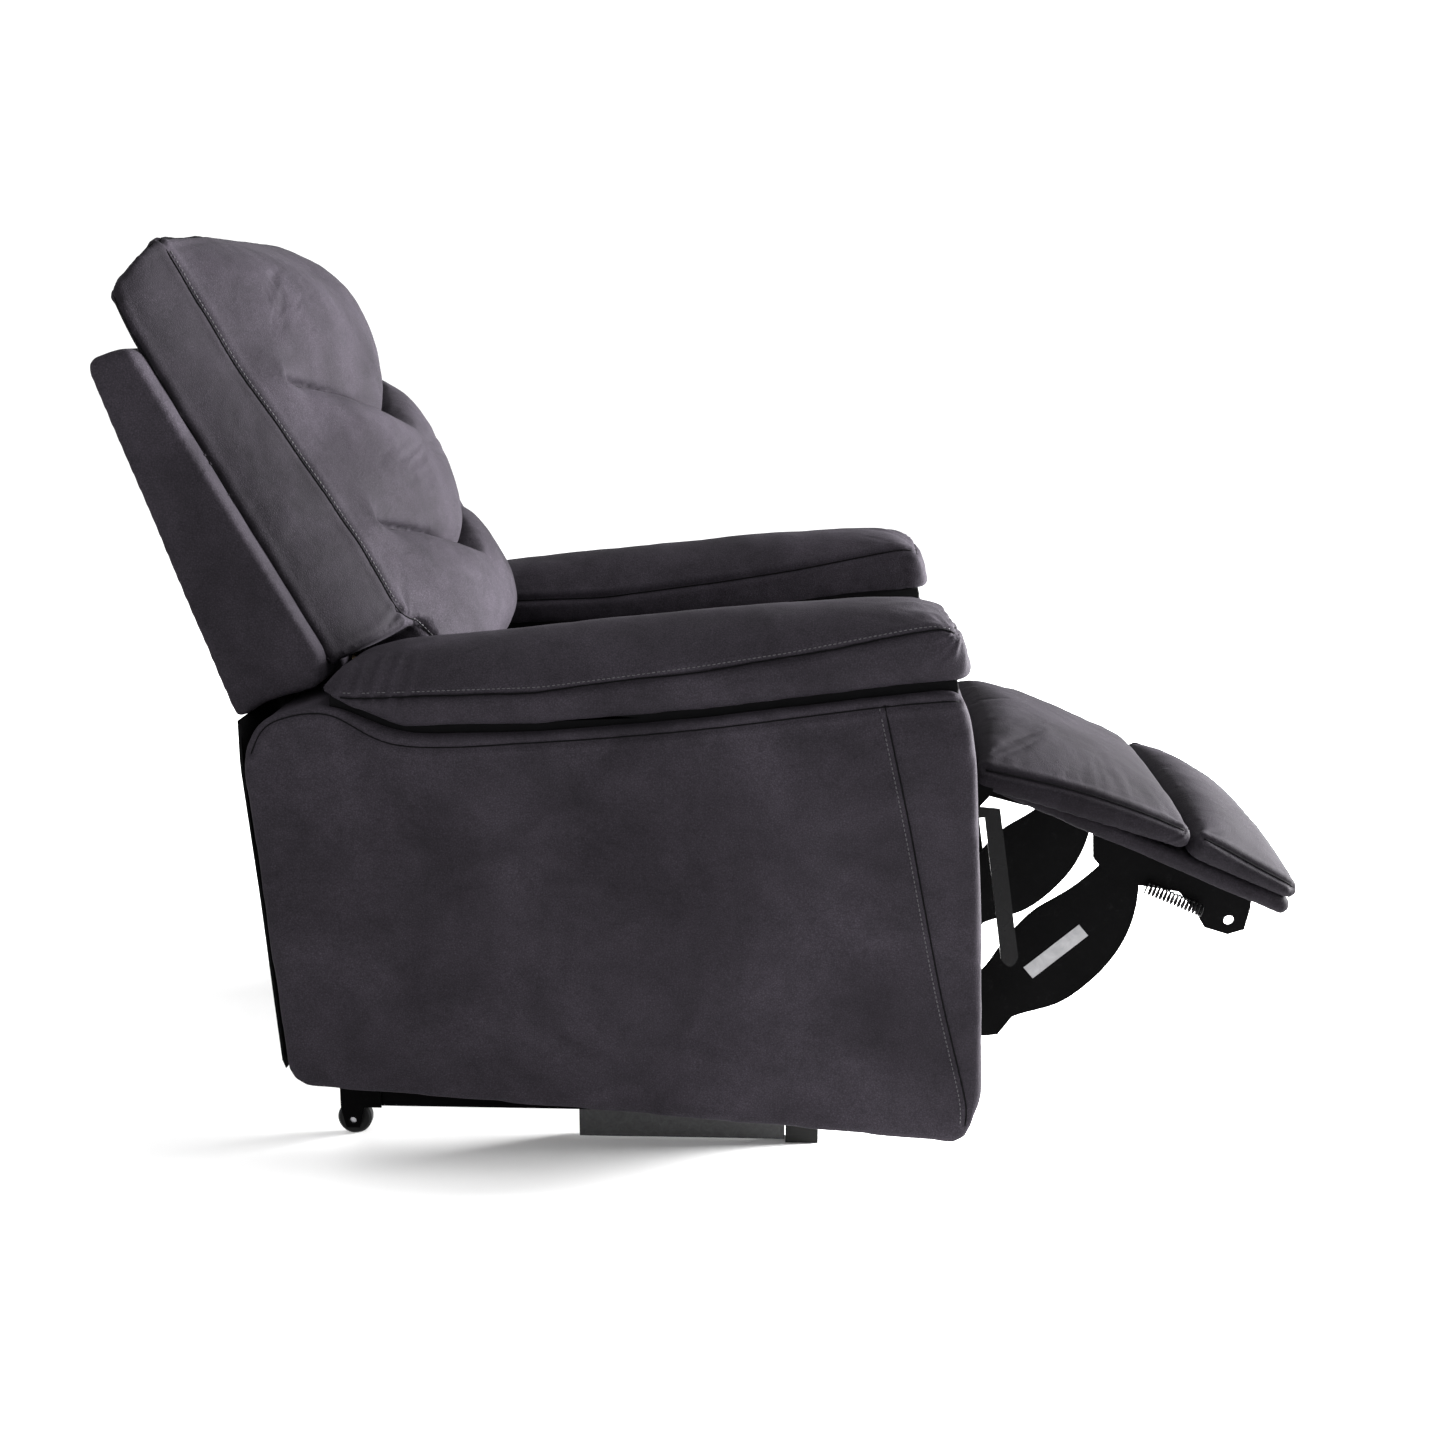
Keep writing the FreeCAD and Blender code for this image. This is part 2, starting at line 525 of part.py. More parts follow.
# ---------------------------------------------------------------- backrest
group("back_posts", [
    block(side + "_back_post", "dims.back_post_depth", "dims.back_post_width",
          "dims.back_post_length", (13, 40), signed(sign, "dims.back_post_centre"),
          frame=BACK, node=False) for side, sign in SIDES])
block("back_top_rail", "dims.back_rail_depth", "dims.back_top_rail_length", "dims.back_top_rail_height",
      (13, 440), "dims.middle", frame=BACK)
block("back_lower_rail", "dims.back_rail_depth", "dims.back_low_rail_length", "dims.back_rail_height",
      (13, 60), "dims.middle", frame=BACK)
springs, corner = spring_set("back_springs", 352, (-120, -40, 40, 120), BACK, (38.7, 108))
springs.Placement = FreeCAD.Placement(
    FreeCAD.Vector(corner[0], 0, corner[1]),
    FreeCAD.Rotation(FreeCAD.Vector(0, 1, 0), -90 - size("back_lean")))
keep(springs, "back_springs")

HINGE_U, HINGE_N = 32.3, -10.7
BACK_BRACKET = straight([(HINGE_N - 14, HINGE_U - 8), (HINGE_N + 2, HINGE_U - 14), (34, 44), (34, 170),
                         (15, 170), (13, 80), (HINGE_N - 13, HINGE_U + 8)])
group("back_hinge_brackets", [
    profile(side + "_back_bracket", BACK_BRACKET, "dims.back_bracket_thick",
            signed(sign, "dims.back_bracket_centre"), frame=BACK, node=False)
    for side, sign in SIDES])


def front_view_piece(name, outline, depth, at, frame, round_by=None):
    """A piece cut from its front outline (sideways, up the back) and given a depth."""
    body = doc.addObject("PartDesign::Body", name)
    sketch = body.newObject("Sketcher::SketchObject", name + "_outline")
    sketch.AttachmentSupport = [(origin_plane(body, "YZ_Plane"), "")]
    sketch.MapMode = "FlatFace"
    add_outline(sketch, outline)
    pad = body.newObject("PartDesign::Pad", name + "_pad")
    pad.Profile = sketch
    pad.setExpression("Length", depth)
    ox, oz, turn = frame
    shift = FreeCAD.Rotation(FreeCAD.Vector(0, 1, 0), turn).multVec(FreeCAD.Vector(at, 0, 0))
    place(body, (ox + shift.x, oz + shift.z, turn))
    if round_by:
        doc.recompute()
        fillet = body.newObject("PartDesign::Fillet", name + "_round")
        fillet.Base = (pad, ["Edge%d" % (i + 1) for i in range(len(pad.Shape.Edges))])
        fillet.setExpression("Radius", round_by)
    return keep(body, name)


half_wide, half_low = size("back_width") / 2, size("back_low_width") / 2
front_view_piece("back_cushion_core", straight([
    (-half_low, 48), (half_low, 48), (half_low, 104), (half_wide, 104), (half_wide, 556),
    (half_wide - 40, 572), (-half_wide + 40, 572), (-half_wide, 556), (-half_wide, 104),
    (-half_low, 104)]), "dims.back_core_depth", 43.0, BACK, "dims.back_core_round")
for name, low, high, width in (("head_bolster", 402, 560, "bolster_width"),
                               ("lumbar_bolster", 216, 398, "bolster_width"),
                               ("lower_bolster", 60, 212, "low_bolster_width")):
    half = size(width) / 2
    front_view_piece(name, straight([(-half, low), (half, low), (half, high), (-half, high)]),
                     "dims.bolster_depth", 100.5, BACK, "dims.bolster_round")

SHELL_REAR = [
    ((-511, 540), (-650, 896)), ((-650, 896), (-646, 906), (-640, 906)), ((-640, 906), (-636, 893)),
    ((-636, 893), (-498, 545)), ((-498, 545), (-500, 534)), ((-500, 534), (-511, 540)),
]
SHELL_SIDE = [
    ((-494, 548), (-632, 893)), ((-632, 893), (-622, 907), (-606, 904)),
    ((-606, 904), (-424, 583)), ((-424, 583), (-428, 562)), ((-428, 562), (-462, 556), (-494, 548)),
]
SHELL_TOP = straight([(-633, 897), (-622, 907), (-606, 904), (-602, 897), (-612, 898), (-622, 896)])
profile("back_top_panel", SHELL_TOP, "dims.shell_width - 2 * dims.shell_thick - 1", "dims.middle")
profile("back_rear_panel", SHELL_REAR, "dims.shell_width", "dims.middle")
group("back_side_panels", [
    profile(side + "_back_side_panel", SHELL_SIDE, "dims.shell_thick",
            signed(sign, "dims.shell_side_centre"), node=False) for side, sign in SIDES])

# ---------------------------------------------------------------- checks and export
doc.recompute()
for obj in doc.Objects:
    if any(flag in obj.State for flag in ("Invalid", "Error")):
        raise RuntimeError("%s failed: %s" % (obj.Label, obj.State))
names = set()
for node in NODES:
    shape = node.Shape
    if shape.isNull() or not shape.isValid() or not shape.Solids:
        raise RuntimeError("%s has no valid solid" % node.Label)
    if node.Label in names or len(node.Label) >= 60:
        raise RuntimeError("bad node name " + node.Label)
    names.add(node.Label)
for node in NODES:
    node.Shape.exportStep(os.path.join("parts", node.Label + ".step"))
low = FreeCAD.BoundBox()
for node in NODES:
    low.add(node.Shape.BoundBox)
print(len(NODES), "nodes; X %.1f %.1f  Y %.1f %.1f  Z %.1f %.1f"
      % (low.XMin, low.XMax, low.YMin, low.YMax, low.ZMin, low.ZMax))
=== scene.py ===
import json
import math

import bmesh
import bpy
import numpy as np
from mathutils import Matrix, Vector
from mathutils.bvhtree import BVHTree
from mathutils.kdtree import KDTree
from mathutils.noise import fractal

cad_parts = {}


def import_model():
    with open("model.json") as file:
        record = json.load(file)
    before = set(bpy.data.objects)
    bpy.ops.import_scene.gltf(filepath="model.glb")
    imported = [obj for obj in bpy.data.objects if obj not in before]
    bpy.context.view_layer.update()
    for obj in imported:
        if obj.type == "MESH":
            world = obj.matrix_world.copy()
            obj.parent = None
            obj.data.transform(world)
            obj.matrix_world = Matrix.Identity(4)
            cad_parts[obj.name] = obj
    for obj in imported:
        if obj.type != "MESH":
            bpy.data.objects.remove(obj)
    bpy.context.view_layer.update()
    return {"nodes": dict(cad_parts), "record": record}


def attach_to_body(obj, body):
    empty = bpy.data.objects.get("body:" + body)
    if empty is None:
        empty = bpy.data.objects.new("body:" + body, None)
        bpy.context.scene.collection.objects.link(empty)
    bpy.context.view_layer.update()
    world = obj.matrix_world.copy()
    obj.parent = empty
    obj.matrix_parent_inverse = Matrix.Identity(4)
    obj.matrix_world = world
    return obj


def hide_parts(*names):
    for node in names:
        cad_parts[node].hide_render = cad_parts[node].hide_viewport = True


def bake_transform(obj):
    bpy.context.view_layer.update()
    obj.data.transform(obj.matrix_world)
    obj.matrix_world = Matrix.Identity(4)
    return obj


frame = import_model()
scene = bpy.context.scene
NODES = frame["nodes"]
MM = 0.001
DATUM = -10.0                       # outline X values are measured from here, in mm
SIDES = (("right", -1.0), ("left", 1.0))
SOFT_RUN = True           # the cloth simulations run only then
SEARCH_TREES = {}                   # search tree of each object's surface, until it changes
SIM_FRAMES, SIM_PRESSURE = 20, 4.0
CLOTH_STIFFNESS = 12.0
PINNED = 9 * MM                     # how far around a seam the simulation holds the cover
STITCH_STEP, STITCH_LENGTH = 5.2 * MM, 3.4 * MM
STITCH_RADIUS, STITCH_LIFT = 0.5 * MM, 0.15 * MM
SAMPLE = 3 * MM                     # spacing of the points along a sewn line


# ------------------------------------------------------------------ places
# origin and lean of the backrest and the footrest, in the outline's mm and in degrees
BACK_AT, BACK_TURN = (-400.0, 455.0), -29.0
FOOT_AT, FOOT_TURN = (290.0, 424.0), 23.0


def world(points, at=(0.0, 0.0), turn=0.0):
    """(out, across, up) in mm of a leaning frame, to metres in the row frame."""
    p = np.asarray(points, float).reshape(-1, 3)
    a = math.radians(turn)
    x = p[:, 0] * math.cos(a) + p[:, 2] * math.sin(a) + at[0] + DATUM
    z = -p[:, 0] * math.sin(a) + p[:, 2] * math.cos(a) + at[1]
    return np.stack([x, p[:, 1], z], 1) * MM


# ------------------------------------------------------------------ meshes
def make(name, verts, faces, smooth=True):
    mesh = bpy.data.meshes.new(name)
    mesh.from_pydata([tuple(v) for v in verts], [], [tuple(f) for f in faces])
    mesh.validate()
    bm = bmesh.new()
    bm.from_mesh(mesh)
    bmesh.ops.recalc_face_normals(bm, faces=bm.faces)
    bm.to_mesh(mesh)
    bm.free()
    if smooth:
        mesh.polygons.foreach_set("use_smooth", [True] * len(mesh.polygons))
    obj = bpy.data.objects.new(name, mesh)
    scene.collection.objects.link(obj)
    return obj


def loft(name, rings):
    """Closed skin over a stack of closed rings of equal length, with fanned ends."""
    rings = np.asarray(rings, float)
    m, k, _ = rings.shape
    verts = rings.reshape(-1, 3)
    faces = [(i * k + j, i * k + (j + 1) % k, (i + 1) * k + (j + 1) % k, (i + 1) * k + j)
             for i in range(m - 1) for j in range(k)]
    verts = np.vstack([verts, rings[0].mean(0), rings[-1].mean(0)])
    a, b = m * k, m * k + 1
    faces += [(a, (j + 1) % k, j) for j in range(k)]
    faces += [(b, (m - 1) * k + j, (m - 1) * k + (j + 1) % k) for j in range(k)]
    return make(name, verts, faces)


def bake(obj):
    """Apply every modifier."""
    graph = bpy.context.evaluated_depsgraph_get()
    mesh = bpy.data.meshes.new_from_object(obj.evaluated_get(graph))
    old = obj.data
    obj.modifiers.clear()
    obj.data = mesh
    SEARCH_TREES.pop(obj.name, None)
    bpy.data.meshes.remove(old)
    mesh.polygons.foreach_set("use_smooth", [True] * len(mesh.polygons))


def remesh(obj, voxel):
    mod = obj.modifiers.new("remesh", "REMESH")
    mod.mode = "VOXEL"
    mod.voxel_size = voxel
    bake(obj)


def smooth(obj, times):
    mod = obj.modifiers.new("smooth", "SMOOTH")
    mod.iterations = times
    mod.factor = 0.5
    bake(obj)


def subdivide(obj):
    mod = obj.modifiers.new("subdivision", "SUBSURF")
    mod.levels = mod.render_levels = 1
    bake(obj)


def coords(obj):
    co = np.zeros(len(obj.data.vertices) * 3)
    obj.data.vertices.foreach_get("co", co)
    return co.reshape(-1, 3)


def set_coords(obj, co):
    obj.data.vertices.foreach_set("co", np.asarray(co, np.float32).ravel())
    obj.data.update()
    SEARCH_TREES.pop(obj.name, None)


def normals(obj):
    n = np.zeros(len(obj.data.vertices) * 3)
    obj.data.vertices.foreach_get("normal", n)
    return n.reshape(-1, 3)


def distance_to(points, path):
    """Distance of each point from a densely sampled path."""
    tree = KDTree(len(path))
    for i, p in enumerate(path):
        tree.insert(p, i)
    tree.balance()
    return np.array([tree.find(p)[2] for p in points])


def resample(path, step):
    path = np.asarray(path, float)
    seg = np.linalg.norm(np.diff(path, axis=0), axis=1)
    s = np.concatenate([[0], np.cumsum(seg)])
    t = np.linspace(0, s[-1], max(2, int(round(s[-1] / step)) + 1))
    return np.stack([np.interp(t, s, path[:, i]) for i in range(3)], 1)


def spline(points, count=60):
    """Smooth path through a few points (Catmull-Rom)."""
    p = np.asarray(points, float)
    p = np.vstack([2 * p[0] - p[1], p, 2 * p[-1] - p[-2]])
    out = []
    spans = len(p) - 3
    for i in range(spans):
        for t in np.linspace(0, 1, max(2, count // spans), endpoint=i == spans - 1):
            a, b, c, d = p[i:i + 4]
            out.append(0.5 * (2 * b + (c - a) * t + (2 * a - 5 * b + 4 * c - d) * t ** 2
                              + (3 * b - a - 3 * c + d) * t ** 3))
    return np.array(out)


def onto(obj, path):
    """Path moved to the nearest points of the surface, with the surface normals there."""
    if obj.name not in SEARCH_TREES:
        bm = bmesh.new()
        bm.from_mesh(obj.data)
        SEARCH_TREES[obj.name] = BVHTree.FromBMesh(bm)
        bm.free()
    tree = SEARCH_TREES[obj.name]
    hits = [tree.find_nearest(Vector(p)) for p in path]
    return (np.array([list(h[0]) for h in hits]), np.array([list(h[1]) for h in hits]))


def settle(obj, path, rounds=3, reach=4):
    """Lay a path on a surface and even out its small jumps."""
    kernel = np.hanning(2 * reach + 3)[1:-1]
    kernel /= kernel.sum()
    for _ in range(rounds):
        path, n = onto(obj, path)
        if len(path) < 4 * reach:
            return path, n
        padded = np.vstack([2 * path[0] - path[reach:0:-1], path,
                            2 * path[-1] - path[-2:-reach - 2:-1]])
        path = np.stack([np.convolve(padded[:, i], kernel, "valid") for i in range(3)], 1)
    return path, onto(obj, path)[1]


def seam(obj, path, depth=2.2 * MM, width=3.5 * MM, ridge=1.0 * MM):
    """Sew a line into a padded surface: a narrow groove with a little fullness beside it."""
    path, _ = settle(obj, resample(path, 2.5 * MM))
    co, n = coords(obj), normals(obj)
    low, high = path.min(0) - 6 * width, path.max(0) + 6 * width
    near = np.where(np.all((co > low) & (co < high), axis=1))[0]
    if not len(near):
        return path
    d = distance_to(co[near], path)
    move = -depth * np.exp(-(d / width) ** 2)
    move = move + ridge * np.exp(-((d - 2.6 * width) / (1.5 * width)) ** 2)
    co[near] += n[near] * move[:, None]
    set_coords(obj, co)
    return path


def stitches(name, obj, path):
    """A row of thread stitches lying on a surface."""
    at, n = settle(obj, resample(path, STITCH_STEP), 2, 3)
    verts, faces = [], []
    for i in range(1, len(at) - 1):
        along = at[i + 1] - at[i - 1]
        size = np.linalg.norm(along)
        if size < 1e-6:
            continue
        along = along / size
        up = n[i] / np.linalg.norm(n[i])
        side = np.cross(along, up)
        base = len(verts)
        for t, r in ((-0.5, 0.35), (-0.3, 1.0), (0.3, 1.0), (0.5, 0.35)):
            centre = at[i] + along * STITCH_LENGTH * t
            centre = centre + up * (STITCH_LIFT - (0.5 * STITCH_RADIUS if r < 1 else 0))
            for k in range(6):
                a = k * math.pi / 3
                verts.append(centre + STITCH_RADIUS * r * (math.cos(a) * side + math.sin(a) * up))
        for s in range(3):
            for k in range(6):
                faces.append((base + s * 6 + k, base + s * 6 + (k + 1) % 6,
                              base + (s + 1) * 6 + (k + 1) % 6, base + (s + 1) * 6 + k))
        faces.append(tuple(base + k for k in range(5, -1, -1)))
        faces.append(tuple(base + 18 + k for k in range(6)))
    row = make(name, verts, faces)
    row.data.materials.append(THREAD)
    return row


def cord(name, obj, path, radius=0.75 * MM, sunk=1.0 * MM):
    """Painted shadow in a seam or crease: a thin near-black tube sunk in the groove along a path.
    """
    at = resample(path, 5 * MM)
    n = onto(obj, at)[1]
    reach = min(4, len(at) - 1)
    padded = np.vstack([n[reach:0:-1], n, n[-2:-reach - 2:-1]])
    n = np.stack([np.convolve(padded[:, i], np.ones(2 * reach + 1), "valid")
                  for i in range(3)], 1)
    n /= np.linalg.norm(n, axis=1)[:, None]
    along = np.gradient(at, axis=0)
    along /= np.maximum(np.linalg.norm(along, axis=1), 1e-9)[:, None]
    side = np.cross(along, n)
    rings = [[at[i] - n[i] * sunk + radius * (math.cos(a) * side[i] + math.sin(a) * n[i])
              for a in np.linspace(0, 2 * math.pi, 7)[:-1]] for i in range(len(at))]
    line = loft(name, rings)
    line.data.materials.append(SEAM_GROOVE_SHADOW)
    return line


def gathers(obj, centre, reach, height, folds, seed):
    """Small folds fanning out from a point where the cover is pulled together."""
    co, n = coords(obj), normals(obj)
    rng = np.random.default_rng(seed)
    away = co - centre
    d = np.linalg.norm(away, axis=1)
    near = np.where(d < 2.2 * reach)[0]
    axis = n[near[np.argmin(d[near])]]
    first = np.cross(axis, (0.3, 0.2, 0.9))
    first /= np.linalg.norm(first)
    second = np.cross(axis, first)
    angle = np.arctan2(away[near] @ second, away[near] @ first)
    wave = np.cos(folds * angle + rng.uniform(0, 6.28))
    wave = wave + 0.6 * np.cos((folds + 4) * angle + rng.uniform(0, 6.28))
    r = d[near] / reach
    fade = np.exp(-(r / 0.75) ** 2) * np.clip(r * 5, 0, 1)
    co[near] += n[near] * (height * 0.6 * wave * fade)[:, None]
    set_coords(obj, co)


def wrinkle(obj, height, scale, seed):
    """Faint broad unevenness of a filled cover."""
    co, n = coords(obj), normals(obj)
    rise = noise3(co, scale, seed)
    set_coords(obj, co + n * (height * rise)[:, None])


def pleats(obj, centre, along, across, reach, height, count, spread):
    """A few parallel soft folds running along one direction."""
    co, n = coords(obj), normals(obj)
    along, across = np.array(along, float), np.array(across, float)
    along /= np.linalg.norm(along)
    across /= np.linalg.norm(across)
    p, q = (co - centre) @ along, (co - centre) @ across
    third = np.cross(along, across)
    off = (co - centre) @ third
    fade = np.exp(-(p / reach) ** 4 - (q / spread) ** 4 - (off / reach) ** 4)
    wave = np.cos(q / spread * math.pi * count)
    set_coords(obj, co + n * (height * wave * fade)[:, None])


def noise3(p, scale, seed):
    """Smooth repeatable noise at each point."""
    shift = np.random.default_rng(seed).uniform(10, 90, 3)
    return np.array([fractal(Vector(q), 0.9, 2.1, 3) for q in p / scale + shift])


def puff(obj, pins, pressure, cap):
    """Inflate a padded piece with a cloth simulation; pins is each point's hold, 0 to 1."""
    start = coords(obj)
    group = obj.vertex_groups.new(name="held")
    for level in np.unique(np.round(pins, 1)):
        if level > 0:
            held = [int(i) for i in np.where(np.round(pins, 1) == level)[0]]
            group.add(held, float(level), "REPLACE")
    mod = obj.modifiers.new("cloth", "CLOTH")
    s = mod.settings
    s.quality = 3
    s.mass = 0.35
    s.use_pressure = True
    s.uniform_pressure_force = pressure
    s.tension_stiffness = CLOTH_STIFFNESS
    s.compression_stiffness = CLOTH_STIFFNESS
    s.shear_stiffness = CLOTH_STIFFNESS * 0.5
    s.bending_stiffness = 0.6
    s.air_damping = 4
    s.vertex_group_mass = "held"
    s.pin_stiffness = 1.0
    s.effector_weights.gravity = 0.0
    mod.collision_settings.use_collision = False
    mod.collision_settings.use_self_collision = False
    mod.point_cache.frame_start = 1
    mod.point_cache.frame_end = SIM_FRAMES
    for f in range(1, SIM_FRAMES + 1):
        scene.frame_set(f)
    graph = bpy.context.evaluated_depsgraph_get()
    mesh = bpy.data.meshes.new_from_object(obj.evaluated_get(graph))
    end = np.zeros(len(mesh.vertices) * 3)
    mesh.vertices.foreach_get("co", end)
    end = end.reshape(-1, 3)
    bpy.data.meshes.remove(mesh)
    obj.modifiers.clear()
    obj.vertex_groups.clear()
    scene.frame_set(1)
    move = end - start
    size = np.linalg.norm(move, axis=1)
    scale = np.where(size > cap, cap / np.maximum(size, 1e-9), 1.0)
    set_coords(obj, start + move * scale[:, None])


# ------------------------------------------------------------------ materials
def socket(node, name, value):
    node.inputs[name].default_value = value


def new_material(name):
    mat = bpy.data.materials.new(name)
    mat.use_nodes = True
    tree = mat.node_tree
    tree.nodes.clear()
    out = tree.nodes.new("ShaderNodeOutputMaterial")
    shader = tree.nodes.new("ShaderNodeBsdfPrincipled")
    tree.links.new(shader.outputs[0], out.inputs[0])
    coord = tree.nodes.new("ShaderNodeTexCoord")
    return mat, tree, shader, coord.outputs["Object"]


def noise_node(tree, coord, scale, detail=3.0, rough=0.55, distortion=0.0):
    n = tree.nodes.new("ShaderNodeTexNoise")
    tree.links.new(coord, n.inputs["Vector"])
    socket(n, "Scale", scale)
    socket(n, "Detail", detail)
    socket(n, "Roughness", rough)
    socket(n, "Distortion", distortion)
    return n.outputs["Fac"]


def cells_node(tree, coord, scale):
    n = tree.nodes.new("ShaderNodeTexVoronoi")
    n.feature = "DISTANCE_TO_EDGE"
    tree.links.new(coord, n.inputs["Vector"])
    socket(n, "Scale", scale)
    return n.outputs["Distance"]


def ramp(tree, value, stops):
    n = tree.nodes.new("ShaderNodeValToRGB")
    tree.links.new(value, n.inputs["Fac"])
    n.color_ramp.elements.remove(n.color_ramp.elements[1])
    for i, (at, colour) in enumerate(stops):
        e = n.color_ramp.elements[0] if i == 0 else n.color_ramp.elements.new(at)
        e.position = at
        e.color = (*colour, 1.0)
    return n.outputs["Color"]


def mix(tree, mode, factor, a, b):
    n = tree.nodes.new("ShaderNodeMix")
    n.data_type = "RGBA"
    n.blend_type = mode
    n.inputs[0].default_value = factor
    tree.links.new(a, n.inputs[6])
    tree.links.new(b, n.inputs[7])
    return n.outputs[2]


def rescale(tree, value, low, high, a=0.0, b=1.0):
    n = tree.nodes.new("ShaderNodeMapRange")
    tree.links.new(value, n.inputs["Value"])
    socket(n, "From Min", a)
    socket(n, "From Max", b)
    socket(n, "To Min", low)
    socket(n, "To Max", high)
    return n.outputs["Result"]


def bump(tree, shader, height, strength, distance, under=None):
    n = tree.nodes.new("ShaderNodeBump")
    tree.links.new(height, n.inputs["Height"])
    socket(n, "Strength", strength)
    socket(n, "Distance", distance)
    if under:
        tree.links.new(under, n.inputs["Normal"])
    tree.links.new(n.outputs["Normal"], shader.inputs["Normal"])
    return n.outputs["Normal"]


def suede(name, dark, light, sheen):
    """Faux suede: pebbled nap, cloudy brushing marks and a soft sheen."""
    mat, tree, shader, coord = new_material(name)
    clouds = noise_node(tree, coord, 6.0, 5.0, 0.60, 0.5)
    patches = noise_node(tree, coord, 24.0, 5.0, 0.62, 0.8)
    grain = cells_node(tree, coord, 420.0)
    nap = noise_node(tree, coord, 520.0, 3.0, 0.7)
    middle = tuple((a + b) / 2 for a, b in zip(dark, light))
    base = ramp(tree, clouds, [(0.34, dark), (0.50, middle), (0.66, light)])
    tint = ramp(tree, patches, [(0.35, (0.84, 0.84, 0.86)), (0.65, (1.10, 1.08, 1.12))])
    colour = mix(tree, "MULTIPLY", 0.85, base, tint)
    pores = ramp(tree, grain, [(0.0, (0.55, 0.55, 0.55)), (0.25, (1.0, 1.0, 1.0))])
    colour = mix(tree, "MULTIPLY", 0.7, colour, pores)
    fibres = ramp(tree, nap, [(0.30, (0.62, 0.62, 0.63)), (0.70, (1.35, 1.33, 1.36))])
    colour = mix(tree, "MULTIPLY", 0.8, colour, fibres)
    tree.links.new(colour, shader.inputs["Base Color"])
    tree.links.new(rescale(tree, patches, 0.66, 0.86), shader.inputs["Roughness"])
    socket(shader, "Specular IOR Level", 0.03)
    socket(shader, "Sheen Weight", sheen)
    socket(shader, "Sheen Roughness", 0.40)
    socket(shader, "Sheen Tint", (0.80, 0.74, 0.88, 1.0))
    first = bump(tree, shader, grain, 0.45, 0.0008)
    second = bump(tree, shader, nap, 0.35, 0.0006, first)
    bump(tree, shader, patches, 0.30, 0.004, second)
    return mat


def steel(name, colour, rough, metallic, gloss=0.5):
    """Painted or plated steel with faint ripple, scuffs and uneven gloss."""
    mat, tree, shader, coord = new_material(name)
    broad = noise_node(tree, coord, 18.0, 4.0)
    fine = noise_node(tree, coord, 420.0, 3.0)
    scuffs = noise_node(tree, coord, 90.0, 6.0, 0.7, 1.5)
    low = tuple(c * 0.75 for c in colour)
    high = tuple(min(1.0, c * 1.35 + 0.004) for c in colour)
    base = ramp(tree, scuffs, [(0.35, low), (0.6, colour), (0.78, high)])
    tree.links.new(base, shader.inputs["Base Color"])
    gloss_map = rescale(tree, broad, rough - 0.08, rough + 0.10, 0.3, 0.7)
    tree.links.new(gloss_map, shader.inputs["Roughness"])
    socket(shader, "Metallic", metallic)
    socket(shader, "Specular IOR Level", gloss)
    under = bump(tree, shader, fine, 0.15, 0.0003)
    bump(tree, shader, broad, 0.2, 0.002, under)
    return mat


def timber(name):
    mat, tree, shader, coord = new_material(name)
    stretch = tree.nodes.new("ShaderNodeMapping")
    tree.links.new(coord, stretch.inputs["Vector"])
    socket(stretch, "Scale", (3.0, 30.0, 30.0))
    grain = noise_node(tree, stretch.outputs[0], 3.0, 6.0, 0.6, 1.2)
    base = ramp(tree, grain, [(0.3, (0.30, 0.19, 0.10)), (0.5, (0.48, 0.34, 0.20)),
                              (0.7, (0.58, 0.44, 0.28))])
    tree.links.new(base, shader.inputs["Base Color"])
    tree.links.new(rescale(tree, grain, 0.55, 0.8), shader.inputs["Roughness"])
    bump(tree, shader, grain, 0.3, 0.001)
    return mat


def plastic(name, colour, rough, gloss=0.5):
    mat, tree, shader, coord = new_material(name)
    grain = noise_node(tree, coord, 700.0, 2.0)
    wear = noise_node(tree, coord, 40.0, 5.0, 0.6, 0.5)
    base = ramp(tree, wear, [(0.35, tuple(c * 0.8 for c in colour)),
                             (0.7, tuple(c * 1.25 for c in colour))])
    tree.links.new(base, shader.inputs["Base Color"])
    tree.links.new(rescale(tree, wear, rough - 0.08, rough + 0.12), shader.inputs["Roughness"])
    socket(shader, "Specular IOR Level", gloss)
    bump(tree, shader, grain, 0.3, 0.0004)
    return mat


SUEDE = suede("suede", (0.0120, 0.0107, 0.0128), (0.0215, 0.0192, 0.0230), 0.01)
# a darker copy of the suede as painted shade, for the back cushion's boxed sides, the seat front
# rail and the footrest pads
SUEDE_PAINTED_SHADE = suede("suede_painted_shade", (0.0062, 0.0055, 0.0066), (0.0112, 0.0100, 0.0120), 0.01)
THREAD = plastic("thread", (0.022, 0.021, 0.024), 0.7)
# near-black for the thin lines sunk in seams and creases: painted shadow
SEAM_GROOVE_SHADOW = plastic("seam_groove_shadow", (0.0015, 0.0015, 0.0018), 0.9, 0.05)
# near-black cloth for the dust covers at the rear and under the backrest, and as painted shadow in
# the gaps under the arm pads
DUST_AND_SHADOW_CLOTH = plastic("dust_and_shadow_cloth", (0.0015, 0.0015, 0.0017), 0.95, 0.05)
BLACK_STEEL = steel("black_steel", (0.0010, 0.0010, 0.0011), 0.42, 0.0, 0.012)
ZINC = steel("zinc", (0.45, 0.45, 0.47), 0.30, 1.0)
SPRING_STEEL = steel("spring_steel", (0.30, 0.30, 0.31), 0.35, 1.0)
WOOD = timber("timber")
RUBBER = plastic("rubber", (0.003, 0.003, 0.003), 0.7, 0.2)
LINK_STEEL = steel("link_steel", (0.004, 0.004, 0.0043), 0.30, 0.05, 0.05)
SKID_PAINT = steel("skid_paint", (0.042, 0.042, 0.043), 0.50, 0.0, 0.10)
BLACK_PLASTIC = plastic("black_plastic", (0.003, 0.003, 0.0033), 0.42, 0.12)
